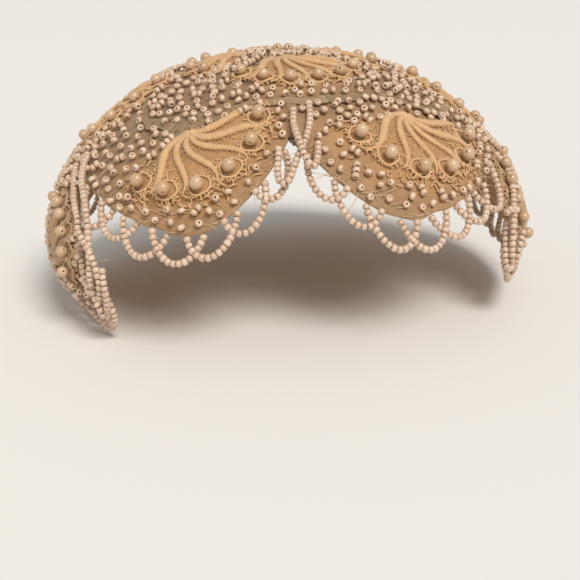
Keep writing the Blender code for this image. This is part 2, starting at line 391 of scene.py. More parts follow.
def revolved(profile: Array, sides: int, bore: Array) -> Patch:
    """A closed profile of radius and height pairs turned round the Z axis, such as a drilled bead.

    Args:
        profile: Radius and height of each corner, round the section and back to its start.
        sides: Steps round the axis.
        bore: 1 for corners in the hole, else 0.

    Returns:
        The patch, with the mark bore.
    """
    angle = np.arange(sides)[:, None] * TURN / sides
    radius, height = profile[:, 0], profile[:, 1]
    points = np.stack(np.broadcast_arrays(
        radius * np.cos(angle), radius * np.sin(angle), height + 0 * angle), axis=-1)
    uv = np.stack(np.broadcast_arrays(angle / TURN, np.arange(len(profile)) / len(profile)), axis=-1)
    faces = grid_faces(sides, len(profile), wrap_rows=True, wrap_columns=True)
    patch = Patch(points.reshape(-1, 3), [faces], uv.reshape(-1, 2))
    return patch.marked("bore", np.tile(bore, sides))


def stamped(shape: Patch, places: Array, axes: Array, tints: Array, scales: Array | float = 1) -> Patch:
    """Copies of one small shape, each at its place, turned so that its Z axis lies along its own axis.

    Args:
        shape: The shape round the origin.
        places: Where each copy goes, copies by 3.
        axes: The direction of each copy's Z axis.
        tints: A number from 0 to 1 for each copy, for its colour.
        scales: The size of each copy.

    Returns:
        The copies as one patch, with the mark tint.
    """
    axes = unit(axes)
    helper = np.where(np.abs(axes[:, 2:]) < 0.9, [[0.0, 0.0, 1.0]], [[1.0, 0.0, 0.0]])
    first = unit(np.cross(helper, axes))
    second = np.cross(axes, first)
    size = np.broadcast_to(np.asarray(scales, dtype=float), (len(places),))[:, None, None]
    points = (places[:, None] + size * (shape.points[:, 0:1] * first[:, None]
                                        + shape.points[:, 1:2] * second[:, None]
                                        + shape.points[:, 2:3] * axes[:, None])).reshape(-1, 3)
    starts = (np.arange(len(places)) * len(shape.points))[:, None, None]
    marks = {name: np.tile(values, len(places)) for name, values in shape.marks.items()}
    marks["tint"] = np.repeat(tints, len(shape.points))
    return Patch(points, [(faces + starts).reshape(-1, faces.shape[1]) for faces in shape.faces],
                 np.tile(shape.uv, (len(places), 1)), marks)


def make_piece(name: str, patch: Patch, materials: list[Material],
               nodes: Sequence[str] = (), inside: bool = False) -> Object:
    """Make a patch into an object that rides on the body.

    Args:
        name: The piece's name.
        patch: Its mesh as arrays.
        materials: Its material, and a second one for the inner face where inside is true.
        nodes: CAD nodes that it stands for.
        inside: Whether faces marked inner take the second material.

    Returns:
        The object.
    """
    mesh = bpy.data.meshes.new(name)
    mesh.from_pydata(patch.points.tolist(), [], [face for faces in patch.faces for face in faces.tolist()])
    corners = np.empty(len(mesh.loops), dtype=np.int32)
    mesh.loops.foreach_get("vertex_index", corners)
    layer = mesh.uv_layers.new(name="UVMap")
    layer.data.foreach_set("uv", patch.uv[corners].astype(np.float32).ravel())
    for mark, values in patch.marks.items():
        attribute = mesh.attributes.new(mark, "FLOAT", "POINT")
        attribute.data.foreach_set("value", values.astype(np.float32))
    for material in materials:
        mesh.materials.append(material)
    if inside:
        inner = np.concatenate([patch.marks["inner"][faces].min(axis=1) for faces in patch.faces])
        mesh.polygons.foreach_set("material_index", inner.astype(np.int32))
    mesh.shade_smooth()
    mesh.update()
    made = bpy.data.objects.new(name, mesh)
    bpy.context.scene.collection.objects.link(made)
    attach(made, BODY)
    if nodes:
        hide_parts(*nodes)
    log.info("%s: %d faces", name, len(mesh.polygons))
    return made


# Materials


def preset(node: Node, **values: float | Sequence[float]) -> None:
    """Set a node's sockets: each is named by a value's key, with a blank for an underscore.

    Args:
        node: The node.
        values: What its sockets get.
    """
    for name, value in values.items():
        node.inputs[name.replace("_", " ")].default_value = value



class Graph:
    """A node tree with short ways to add nodes and links."""

    def __init__(self, tree: NodeTree) -> None:
        """Start on a tree."""
        self.tree = tree

    def add(self, kind: str, **settings: object) -> Node:
        """Add a node and set its properties.

        Args:
            kind: The node's type.
            settings: Its properties.

        Returns:
            The node.
        """
        node = self.tree.nodes.new(kind)
        for key, value in settings.items():
            setattr(node, key, value)
        return node

    def link(self, source: NodeSocket, target: NodeSocket) -> None:
        """Link two sockets."""
        self.tree.links.new(source, target)

    def fill(self, socket: NodeSocket, value: object) -> None:
        """Link a socket as the input of another, or set a plain value on it.

        Args:
            socket: The input.
            value: A socket or a plain value.
        """
        if isinstance(value, NodeSocket):
            self.link(value, socket)
        else:
            socket.default_value = value

    def math(self, operation: str, *values: object) -> NodeSocket:
        """A Math node on sockets or numbers.

        Args:
            operation: What the node works out.
            values: Its inputs in order.

        Returns:
            The result.
        """
        node = self.add("ShaderNodeMath", operation=operation)
        for socket, value in zip(node.inputs, values):
            self.fill(socket, value)
        return node.outputs[0]

    def mix(self, share: object, first: object, second: object) -> NodeSocket:
        """A colour mix: first where the share is 0, second where it is 1.

        Args:
            share: The share of the second.
            first: A socket or a colour.
            second: A socket or a colour.

        Returns:
            The mixed colour.
        """
        node = self.add("ShaderNodeMix", data_type="RGBA")
        self.fill(node.inputs["Factor"], share)
        colors = [socket for socket in node.inputs if socket.type == "RGBA"]
        self.fill(colors[0], first)
        self.fill(colors[1], second)
        return next(socket for socket in node.outputs if socket.type == "RGBA")

    def mark(self, name: str) -> NodeSocket:
        """A mesh mark as a number."""
        return self.add("ShaderNodeAttribute", attribute_name=name).outputs["Fac"]

    def group(self, tree: NodeTree, **values: object) -> dict[str, NodeSocket]:
        """Place a node group with its own values, and give its outputs by name.

        Args:
            tree: The group.
            values: Its inputs by name.

        Returns:
            Its outputs by name.
        """
        node = self.add("ShaderNodeGroup", node_tree=tree)
        for key, value in values.items():
            self.fill(node.inputs[key], value)
        return {socket.name: socket for socket in node.outputs}


class Socket(Enum):
    """Kinds of socket on a node group."""

    NUMBER = "NodeSocketFloat"
    COLOR = "NodeSocketColor"
    VECTOR = "NodeSocketVector"


def new_group(name: str, inputs: dict[str, Socket],
              outputs: dict[str, Socket]) -> tuple[Graph, dict, dict]:
    """A node group with named inputs and outputs.

    Args:
        name: Its name.
        inputs: Kind of each input.
        outputs: Kind of each output.

    Returns:
        Its graph, its input sockets by name and its output sockets by name.
    """
    tree = bpy.data.node_groups.new(name, "ShaderNodeTree")
    for key, kind in inputs.items():
        tree.interface.new_socket(name=key, in_out="INPUT", socket_type=kind.value)
    for key, kind in outputs.items():
        tree.interface.new_socket(name=key, in_out="OUTPUT", socket_type=kind.value)
    graph = Graph(tree)
    start, end = graph.add("NodeGroupInput"), graph.add("NodeGroupOutput")
    return graph, {key: start.outputs[key] for key in inputs}, {key: end.inputs[key] for key in outputs}


def weave_group() -> NodeTree:
    """Plain weave: warp and weft ridges as cosines of the UV, the upper one chosen by a checker.

    Returns:
        The group.
    """
    graph, given, made = new_group("weave", {"Vector": Socket.VECTOR, "Pitch": Socket.NUMBER},
                                   {"Height": Socket.NUMBER})
    parts = graph.add("ShaderNodeSeparateXYZ")
    graph.link(given["Vector"], parts.inputs[0])
    turns = [graph.math("DIVIDE", graph.math("MULTIPLY", parts.outputs[axis], TURN / 2), given["Pitch"])
             for axis in (0, 1)]
    over = graph.math("GREATER_THAN", graph.math("MULTIPLY", graph.math("SINE", turns[0]),
                                                 graph.math("SINE", turns[1])), 0.0)
    warp, weft = (graph.math("ABSOLUTE", graph.math("SINE", turn)) for turn in turns)
    upper = graph.math("MULTIPLY", warp, over)
    lower = graph.math("MULTIPLY", weft, graph.math("SUBTRACT", 1.0, over))
    graph.link(graph.math("ADD", upper, lower), made["Height"])
    return graph.tree


def crepe_group() -> NodeTree:
    """Crepe grain: a fine uneven height from two noises, one at the size and one at a third of it.

    Returns:
        The group.
    """
    graph, given, made = new_group("crepe", {"Size": Socket.NUMBER}, {"Height": Socket.NUMBER})
    place = graph.add("ShaderNodeTexCoord").outputs["Object"]
    heights = []
    for share in (1.0, 3.0):
        noise = graph.add("ShaderNodeTexNoise")
        preset(noise, Detail=2, Distortion=0.8)
        graph.link(place, noise.inputs["Vector"])
        graph.link(graph.math("DIVIDE", share, given["Size"]), noise.inputs["Scale"])
        heights.append(noise.outputs["Fac"])
    sharp = graph.add("ShaderNodeMapRange")
    preset(sharp, From_Min=0.35, From_Max=0.65)
    graph.link(graph.math("MULTIPLY_ADD", heights[1], 0.35, graph.math("MULTIPLY", heights[0], 0.65)),
               sharp.inputs["Value"])
    graph.link(sharp.outputs["Result"], made["Height"])
    return graph.tree


def mottle_group() -> NodeTree:
    """Uneven ageing: a colour turned towards a stain colour by two sizes of noise.

    Returns:
        The group.
    """
    graph, given, made = new_group(
        "mottle", {"Color": Socket.COLOR, "Stain": Socket.COLOR, "Size": Socket.NUMBER,
                   "Amount": Socket.NUMBER},
        {"Color": Socket.COLOR, "Mask": Socket.NUMBER})
    place = graph.add("ShaderNodeTexCoord").outputs["Object"]
    noises = []
    for share in (1.0, 4.5):
        noise = graph.add("ShaderNodeTexNoise")
        preset(noise, Detail=3)
        graph.link(place, noise.inputs["Vector"])
        graph.link(graph.math("DIVIDE", share, given["Size"]), noise.inputs["Scale"])
        noises.append(noise.outputs["Fac"])
    blend = graph.math("MULTIPLY_ADD", noises[1], 0.4, graph.math("MULTIPLY", noises[0], 0.6))
    sharp = graph.add("ShaderNodeMapRange")
    preset(sharp, From_Min=0.38, From_Max=0.66)
    graph.link(blend, sharp.inputs["Value"])
    mask = graph.math("MULTIPLY", sharp.outputs["Result"], given["Amount"])
    graph.link(graph.mix(mask, given["Color"], given["Stain"]), made["Color"])
    graph.link(mask, made["Mask"])
    return graph.tree


def stitch_group() -> NodeTree:
    """Satin stitches across a cord: slanted ridges along V, each of its own strength.

    Returns:
        The group.
    """
    graph, given, made = new_group("stitch", {"Vector": Socket.VECTOR, "Pitch": Socket.NUMBER},
                                   {"Height": Socket.NUMBER})
    parts = graph.add("ShaderNodeSeparateXYZ")
    graph.link(given["Vector"], parts.inputs[0])
    slant = graph.math("MULTIPLY_ADD", graph.math("PINGPONG", parts.outputs[0], 0.5), 0.5, parts.outputs[1])
    turn = graph.math("DIVIDE", graph.math("MULTIPLY", slant, TURN / 2), given["Pitch"])
    ridge = graph.math("ABSOLUTE", graph.math("SINE", turn))
    noise = graph.add("ShaderNodeTexNoise", noise_dimensions="1D")
    preset(noise, Scale=1)
    graph.link(graph.math("DIVIDE", slant, given["Pitch"]), noise.inputs["W"])
    graph.link(graph.math("MULTIPLY", ridge, graph.math("ADD", noise.outputs["Fac"], 0.5)), made["Height"])
    return graph.tree


class Finishes:
    """Every material of the hat, made from shared node groups."""

    def __init__(self) -> None:
        """Build the groups first, then the materials."""
        self.weave, self.crepe = weave_group(), crepe_group()
        self.mottle, self.stitch = mottle_group(), stitch_group()
        self.silk = self.cloth("petal_silk", Cloth())
        # The lining is the inner face's own tan, made much brighter than the outer silk as painted light
        # falling into the petals.
        self.lining = self.cloth("petal_lining", Cloth(
            color=(0.88, 0.56, 0.31), stain=(0.74, 0.43, 0.21), toned=(0.74, 0.48, 0.27), rough=0.8))
        self.net = self.cloth("crown_net", Cloth(
            color=(0.38, 0.25, 0.14), toned=(0.27, 0.20, 0.12), stain=(0.22, 0.15, 0.09), rough=0.72))
        self.cord = self.lace("lace_cord", Lace())
        self.thread = self.lace("thread", Lace(color=(0.78, 0.60, 0.42), shade=(0.50, 0.33, 0.18), pitch=0.3))
        self.pearl = self.bead("pearl", Bead())
        self.seed = self.bead("seed_bead", Bead(
            pale=(0.82, 0.63, 0.47), deep=(0.68, 0.48, 0.33), bore=(0.19, 0.10, 0.05), rough=0.24))
        self.string = self.bead("string_bead", Bead(
            pale=(0.77, 0.59, 0.46), deep=(0.64, 0.46, 0.34), bore=(0.42, 0.28, 0.19), rough=0.26))
        self.film = self.scale("film")

    def start(self, name: str) -> tuple[Material, Graph, Node]:
        """A new material, its graph and its Principled node.

        Args:
            name: The material's name.

        Returns:
            The three.
        """
        material = bpy.data.materials.new(name)
        material.use_nodes = True
        return material, Graph(material.node_tree), material.node_tree.nodes["Principled BSDF"]

    def bump(self, graph: Graph, shader: Node, height: NodeSocket,
             strength: float, depth: float) -> None:
        """Feed a height to the shader's normal through a Bump node.

        Args:
            graph: The material's graph.
            shader: Its Principled node.
            height: The height.
            strength: How much of it shows.
            depth: What a height of 1 stands for.
        """
        bump = graph.add("ShaderNodeBump")
        preset(bump, Strength=strength, Distance=depth)
        graph.link(height, bump.inputs["Height"])
        graph.link(bump.outputs["Normal"], shader.inputs["Normal"])

    def cloth(self, name: str, look: "Cloth") -> Material:
        """Woven cloth: weave and crepe bump, mottled colour, painted shade in the low places of the weave and
        crepe, and other tones by the marks tone and warm.

        Args:
            name: The material's name.
            look: Its colours and sizes.

        Returns:
            The material.
        """
        material, graph, shader = self.start(name)
        plain = graph.mix(graph.mark("tone"), (*look.color, 1), (*look.toned, 1))
        base = graph.mix(graph.mark("warm"), plain, (*look.warm, 1))
        aged = graph.group(self.mottle, Color=base, Stain=(*look.stain, 1), Size=look.patch, Amount=0.75)
        woven = graph.group(self.weave, Vector=graph.add("ShaderNodeUVMap", uv_map="UVMap").outputs[0],
                            Pitch=look.pitch)
        crimped = graph.group(self.crepe, Size=look.grain)
        height = graph.math("MULTIPLY_ADD", crimped["Height"], 2.0, woven["Height"])
        # Painted shade: where the weave and crepe height is low, the colour goes towards half the stain
        # colour, as shade in their hollows.
        shaded = graph.mix(graph.math("MULTIPLY", graph.math("SUBTRACT", 3.0, height), 0.15),
                           aged["Color"], (*(0.5 * channel for channel in look.stain), 1))
        graph.link(shaded, shader.inputs["Base Color"])
        preset(shader, Roughness=look.rough, Sheen_Weight=look.sheen, Sheen_Roughness=0.4,
               Specular_IOR_Level=0.35)
        self.bump(graph, shader, height, 0.6, 0.06 * MM)
        return material

    def lace(self, name: str, look: "Lace") -> Material:
        """Cords of satin stitch: slanted ridges, with painted shade in the hollows between the stitches and
        between the fibres, and painted shade on the lower side fans.

        Args:
            name: The material's name.
            look: Its colours and sizes.

        Returns:
            The material.
        """
        material, graph, shader = self.start(name)
        ribs = graph.group(self.stitch, Vector=graph.add("ShaderNodeUVMap", uv_map="UVMap").outputs[0],
                           Pitch=look.pitch)
        aged = graph.group(self.mottle, Color=(*look.color, 1), Stain=(*look.stain, 1), Size=5 * MM,
                           Amount=0.6)
        # Painted shade: the cord goes towards the shade colour between the fibres and, by the mark, between
        # the stitches.
        fine = graph.math("MULTIPLY", graph.math("SUBTRACT", 1.0, ribs["Height"]), 0.25)
        hollow = graph.math("MULTIPLY_ADD", graph.mark("groove"), 0.85, fine)
        # Painted shade: the lower side fans' cords are turned towards a darker shade colour.
        side_shaded = graph.mix(graph.mark("dusk"), aged["Color"], (*look.dusk, 1))
        graph.link(graph.mix(hollow, side_shaded, (*look.shade, 1)), shader.inputs["Base Color"])
        preset(shader, Roughness=0.55, Sheen_Weight=0.35, Sheen_Roughness=0.35)
        self.bump(graph, shader, ribs["Height"], 0.7, 0.10 * MM)
        return material

    def bead(self, name: str, look: "Bead") -> Material:
        """Glass or pearl: a colour between pale and deep by the mark tint, with painted shade inside the hole
        by the mark bore.

        Args:
            name: The material's name.
            look: Its colours and sizes.

        Returns:
            The material.
        """
        material, graph, shader = self.start(name)
        base = graph.mix(graph.mark("tint"), (*look.pale, 1), (*look.deep, 1))
        aged = graph.group(self.mottle, Color=base, Stain=(*look.stain, 1), Size=look.patch, Amount=0.45)
        # Painted shade: the hole is coloured dark.
        graph.link(graph.mix(graph.mark("bore"), aged["Color"], (*look.bore, 1)), shader.inputs["Base Color"])
        graph.link(graph.math("MULTIPLY_ADD", aged["Mask"], 0.25, look.rough), shader.inputs["Roughness"])
        preset(shader, Coat_Weight=look.coat, Coat_Roughness=0.22, Subsurface_Weight=look.depth,
               Subsurface_Radius=(1.0, 0.7, 0.45), Subsurface_Scale=0.8 * MM)
        return material

    def scale(self, name: str) -> Material:
        """Ribbon and sequins: olive grey film with a soft shine, paler where the mark rim is high.

        Args:
            name: The material's name.

        Returns:
            The material.
        """
        material, graph, shader = self.start(name)
        base = graph.mix(graph.mark("tint"), (0.28, 0.195, 0.11, 1), (0.37, 0.26, 0.155, 1))
        aged = graph.group(self.mottle, Color=base, Stain=(0.24, 0.155, 0.085, 1), Size=6 * MM, Amount=0.5)
        edged = graph.mix(graph.mark("rim"), aged["Color"], (0.40, 0.29, 0.18, 1))
        graph.link(edged, shader.inputs["Base Color"])
        preset(shader, Roughness=0.68, Specular_IOR_Level=0.3)
        return material


@dataclass(frozen=True)
class Cloth:
    """A woven finish. Colours are linear, pitch and grain are in metres."""

    color: Colour = (0.46, 0.29, 0.16)
    toned: Colour = (0.30, 0.20, 0.12)
    warm: Colour = (0.62, 0.34, 0.14)
    stain: Colour = (0.36, 0.21, 0.10)
    patch: float = 14 * MM
    pitch: float = 0.35 * MM
    grain: float = 1.5 * MM
    rough: float = 0.62
    sheen: float = 0.3


@dataclass(frozen=True)
class Lace:
    """A satin-stitched finish. Pitch is one fibre bundle's width in millimetres."""

    color: Colour = (0.83, 0.55, 0.29)
    shade: Colour = (0.40, 0.19, 0.07)
    stain: Colour = (0.68, 0.40, 0.18)
    # The painted shade colour of the lower side fans' cords.
    dusk: Colour = (0.44, 0.30, 0.18)
    pitch: float = 0.3


@dataclass(frozen=True)
class Bead:
    """A bead's finish: its palest and deepest colours, the painted shade in its hole, and its gloss."""

    pale: Colour = (0.66, 0.46, 0.29)
    deep: Colour = (0.56, 0.37, 0.21)
    # The painted shade colour inside the hole.
    bore: Colour = (0.10, 0.045, 0.02)
    stain: Colour = (0.50, 0.34, 0.22)
    patch: float = 3 * MM
    rough: float = 0.22
    coat: float = 0.5
    depth: float = 0.1


# Petals and crown


@dataclass(frozen=True)
class Petal:
    """One petal, with the numbers of its row in the part's source, and its swags."""

    name: str
    side: int
    start: float
    end: float
    start_edge: float
    tip_edge: float
    end_edge: float
    tip_at: float
    lean: float
    square_start: float
    square_end: float
    swags: int
    swag_start: float
    swag_end: float
    swag_drop: float
    lean_curve: float = 1.5

    def edge(self, share: Array) -> Array:
        """How far down the edge lies: from the tip, less a power of the distance to either side.

        Args:
            share: Shares of the width.

        Returns:
            Angles from the top.
        """
        before = share < self.tip_at
        reach = np.where(before, (self.tip_at - share) / self.tip_at,
                         (share - self.tip_at) / (1 - self.tip_at)).clip(0)
        fall = np.where(before, (self.tip_edge - self.start_edge) * reach ** self.square_start,
                        (self.tip_edge - self.end_edge) * reach ** self.square_end)
        return self.tip_edge - fall

    def bounds(self, polar: Array) -> tuple[Array, Array]:
        """The ring angle of the start, with its lean, and the width, clear of the neighbours.

        Args:
            polar: Angles from the top.

        Returns:
            Ring angles of the start, and widths in degrees.
        """
        span = self.end - self.start
        gap = np.degrees(LAYERS.clearance / (DOME.half_depth * np.sin(np.radians(polar)))) * np.sign(span)
        below = np.maximum(0, polar - self.start_edge) / (self.tip_edge - self.start_edge)
        lean = self.lean * below ** self.lean_curve
        return self.start + gap / 2 - lean, span - gap + lean

    def ring(self, share: Array, polar: Array) -> Array:
        """The ring angle at a share of the width."""
        start, span = self.bounds(polar)
        return self.side * (start + share * span)

    def share(self, ring: Array, polar: Array) -> Array:
        """The share of the width at a ring angle, which is outside 0 to 1 off the petal."""
        start, span = self.bounds(polar)
        return (self.side * ring - start) / span

    def point(self, share: Array, polar: Array, height: Array) -> Array:
        """Points over the petal."""
        return DOME.point(self.ring(share, polar), polar, height)


PETALS = [
    Petal("front_petal_left", -1, 3, 64, 46, 71.5, 63, 0.37, 0, 1.6, 1.4, 7, 0.06, 0.94, 0.82),
    Petal("front_petal_right", 1, 0, 64, 46, 69.5, 62, 0.40, 0, 1.6, 1.4, 7, 0.08, 0.93, 0.9),
    Petal("side_petal_left", -1, 64, 124, 63, 98, 76, 0.45, 38, 4.0, 2.2, 14, 0.09, 0.96, 0.78),
    Petal("side_petal_right", 1, 64, 124, 62, 90, 76, 0.50, 34, 3.4, 3.0, 14, 0.12, 0.92, 0.78),
    Petal("back_petal_left", -1, 180, 124, 54, 82, 76, 0.45, 0, 1.8, 1.6, 8, 0.05, 0.95, 0.82),
    Petal("back_petal_right", 1, 180, 124, 54, 82, 76, 0.45, 0, 1.8, 1.6, 8, 0.05, 0.95, 0.82),
]


def band_depth(ring: Array) -> Array:
    """How far down the grey band lies: level in front, lower beside the front fans, higher behind."""
    away = np.abs(ring - 10)
    return 33.6 + 10.5 * smooth(20, 52, away) - 8 * smooth(62, 84, away)


def olive_tone_and_side_shade(ring: Array, polar: Array) -> Array:
    """Where the cloth shows olive grey: over the crown and the band, in patches lower down, and on the sides,
    where the grey is partly the cloth's own and partly painted shade.

    Args:
        ring: Ring angles.
        polar: Angles from the top.

    Returns:
        Numbers from 0 to 1.
    """
    patches = ripple(ring / 14, polar / 14, 5)
    upper = 1 - smooth(-2, 6, polar - band_depth(ring) - 3 * patches)
    # On the sides the olive grey is partly the cloth's own colour and partly painted shade.
    sides = smooth(44, 72, np.abs(ring)) * (0.72 + 0.25 * patches)
    return np.clip(np.maximum(upper * (0.8 + 0.2 * patches), sides), 0, 1)


def warmth(ring: Array, polar: Array) -> Array:
    """Where the cloth is warmer: under the fans and fading out round them, uneven by slow waves.

    Args:
        ring: Ring angles.
        polar: Angles from the top.

    Returns:
        Numbers from 0 to 1.
    """
    warm = np.zeros(np.broadcast(ring, polar).shape)
    for fan in FANS:
        angle, reach = fan.polar_form(ring, polar)
        near = 1 - smooth(1.0, 1.75, reach / fan.length)
        beside = 1 - smooth(fan.spread, fan.spread + 45, np.abs(angle))
        warm = np.maximum(warm, near * np.maximum(beside, 1 - smooth(0.1, 0.4, reach / fan.length)))
    return np.clip(warm * (0.85 + 0.2 * ripple(ring / 9, polar / 9, 21)), 0, 1)


@dataclass(frozen=True)
class PetalCloth:
    """The cloth of one petal: a thin cupped shell with a turned hem at its edge."""

    petal: Petal
    across: int = 72
    along: int = 48
    hem_width: float = 2.6 * MM
    hem_rise: float = 0.28 * MM
    uneven: float = 0.22 * MM
    folds: float = 0.24 * MM
    fold_reach: tuple[float, float] = (3 * MM, 11 * MM)
    fray: float = 0.28
    rounding: float = 0.9 * MM
    calm: float = 4 * MM

    def spaced(self, count: int) -> Array:
        """Shares from 0 to 1 that crowd towards both ends, so that the rounded borders are smooth."""
        even = np.linspace(0, 1, count)
        return even - 0.13 * np.sin(TURN * even)

    def patch(self) -> Patch:
        """The shell.

        The outer and inner faces stand half a wall above and below the middle. Near the border the
        half wall shrinks as a quarter circle, the hem lifts the outer face, and the cloth and its edge
        are uneven by a few slow waves.

        Returns:
            The closed patch, with the mark tone for the cloth's colour.
        """
        share, depth = np.meshgrid(self.spaced(self.across), self.spaced(self.along), indexing="ij")
        edge = self.petal.edge(share)
        edge = edge + self.fray * ripple(12 * share, 0 * share, 33)
        polar = LAYERS.petal_root + depth * (edge - LAYERS.petal_root)
        ring = self.petal.ring(share, polar)
        metre = np.radians(1) * DOME.half_depth
        to_edge = (edge - polar) * metre
        to_side = np.minimum(share, 1 - share) * abs(self.petal.end - self.petal.start) * metre
        border = np.minimum(to_edge, to_side)
        t = np.clip(1 - border / self.rounding, 0, 1)
        half = LAYERS.petal_wall / 2 * np.sqrt(1 - 0.86 * t * t)
        middle = LAYERS.petal_top - LAYERS.petal_wall / 2
        hem = self.hem_rise * (1 - smooth(self.hem_width * 0.8, self.hem_width, to_edge))
        wave = self.uneven * ripple(ring / 7, polar / 7, 3) * smooth(0, self.calm, border)
        wave += self.folds * ripple(ring / 9, polar / 2.6, 12) * (1 - smooth(*self.fold_reach, to_edge)) \
            * smooth(0.3 * MM, 2 * MM, border)
        outer = DOME.point(ring, polar, middle + half + (hem + wave - self.hem_rise) * (1 - t))
        inner = DOME.point(ring, polar, middle - half + 0.5 * wave * (1 - t))
        uv = DOME.cloth_uv(ring, polar)
        tone = olive_tone_and_side_shade(ring, polar).reshape(-1)
        warm = warmth(ring, polar).reshape(-1)
        patch = shell(outer, inner, uv).marked("tone", np.concatenate([tone, tone * 0.3]))
        return patch.marked("warm", np.concatenate([warm, 0 * warm]))

    def build(self, finishes: Finishes) -> Object:
        """Make the petal, with the lining on its inner face.

        Args:
            finishes: The materials.

        Returns:
            The petal.
        """
        patch = self.patch()
        if self.petal.side * (self.petal.end - self.petal.start) > 0:
            patch = replace(patch, faces=[faces[:, ::-1] for faces in patch.faces])
        return make_piece(self.petal.name + "_cloth", patch, [finishes.silk, finishes.lining],
                          [self.petal.name], inside=True)


@dataclass(frozen=True)
class Crown:
    """The crown cap: a dome of stiff net with a rolled rim, under the petals' roots."""

    around: int = 96
    down: int = 28
    pole: float = 0.4

    def patch(self) -> Patch:
        """The cap.

        A grid of rings from near the pole to the rim, outer face down and inner face back up, with
        the rim rounded as a half circle, and a fan of faces over each pole.

        Returns:
            The closed patch.
        """
        wall = LAYERS.crown_wall
        depth = np.linspace(self.pole, LAYERS.crown_rim, self.down)
        turn = np.linspace(0, np.pi, 7)[1:-1]
        middle = wall / 2
        sweep = np.degrees(wall / 2 / DOME.half_depth)
        polar = np.concatenate([depth, LAYERS.crown_rim + sweep * np.sin(turn) - sweep, depth[::-1]])
        polar[:self.down] -= sweep * smooth(0.9, 1, np.linspace(0, 1, self.down))
        polar[-self.down:] -= sweep * smooth(0.9, 1, np.linspace(1, 0, self.down))
        height = np.concatenate([np.full(self.down, wall), middle + middle * np.cos(turn),
                                 np.zeros(self.down)])
        ring = np.arange(self.around) * 360 / self.around
        polar_grid, ring_grid = np.meshgrid(polar, ring, indexing="ij")
        points = DOME.point(ring_grid, polar_grid, height[:, None])
        uv = DOME.cloth_uv(ring_grid, polar_grid)
        rows = len(polar)
        quads = grid_faces(rows, self.around, wrap_columns=True)
        poles = DOME.point(np.zeros(2), np.zeros(2), np.array([wall, 0.0]))
        first = np.arange(self.around)
        ahead = (first + 1) % self.around
        count = rows * self.around
        top = np.stack([first, ahead, np.full(self.around, count)], axis=-1)
        last = (rows - 1) * self.around
        bottom = np.stack([last + ahead, last + first, np.full(self.around, count + 1)], axis=-1)
        tone = olive_tone_and_side_shade(ring_grid, polar_grid).reshape(-1)
        patch = Patch(np.concatenate([points.reshape(-1, 3), poles]), [quads, top, bottom],
                      np.concatenate([uv.reshape(-1, 2), np.zeros((2, 2))]))
        return patch.marked("tone", np.append(tone, [0.5, 0.5]))

    def build(self, finishes: Finishes) -> Object:
        """Make the cap."""
        return make_piece("crown_net_cap", self.patch(), [finishes.net], ["crown_cap"])


@dataclass(frozen=True)
class SeamNet:
    """A strip of silk that joins two petals over their seam, down to the notch between them."""

    name: str = "notch_net"
    middle: float = -1.5
    half: float = 4.2
    top: float = 28.5
    bottom: float = 45
    rise: float = 0.32 * MM
    tuck: float = 0.9 * MM
    uneven: float = 0.12 * MM
    thick: float = 0.3 * MM

    def holds(self, ring: Array, polar: Array) -> Array:
        """Whether places lie well inside the strip."""
        return (np.abs(ring - self.middle) < self.half - 1) & (polar > self.top) & (polar < self.bottom - 2)

    def build(self, finishes: Finishes) -> Object:
        """Make the strip: its borders are tucked into the petals and its middle lies just over them.

        Args:
            finishes: The materials.

        Returns:
            The strip.
        """
        across, along = np.meshgrid(np.linspace(-1, 1, 15), np.linspace(0, 1, 30), indexing="ij")
        polar = self.top + along * (self.bottom - self.top)
        ring = self.middle - across * self.half * 24 / polar
        border = np.maximum(smooth(0.6, 1, np.abs(across)), smooth(0.8, 1, np.abs(2 * along - 1)))
        high = (LAYERS.petal_top + self.rise - self.tuck * border
                + self.uneven * ripple(ring / 2, polar / 3, 4))
        outer = DOME.point(ring, polar, high)
        inner = DOME.point(ring, polar, high - self.thick)
        uv = DOME.cloth_uv(ring, polar)
        patch = shell(outer, inner, uv).marked("tone", 0.35)
        return make_piece(self.name, patch, [finishes.silk])


NOTCH_NET = SeamNet()
BACK_NET = SeamNet("back_seam_net", 180, 4.2, 28.5, 53)


# Lace fans


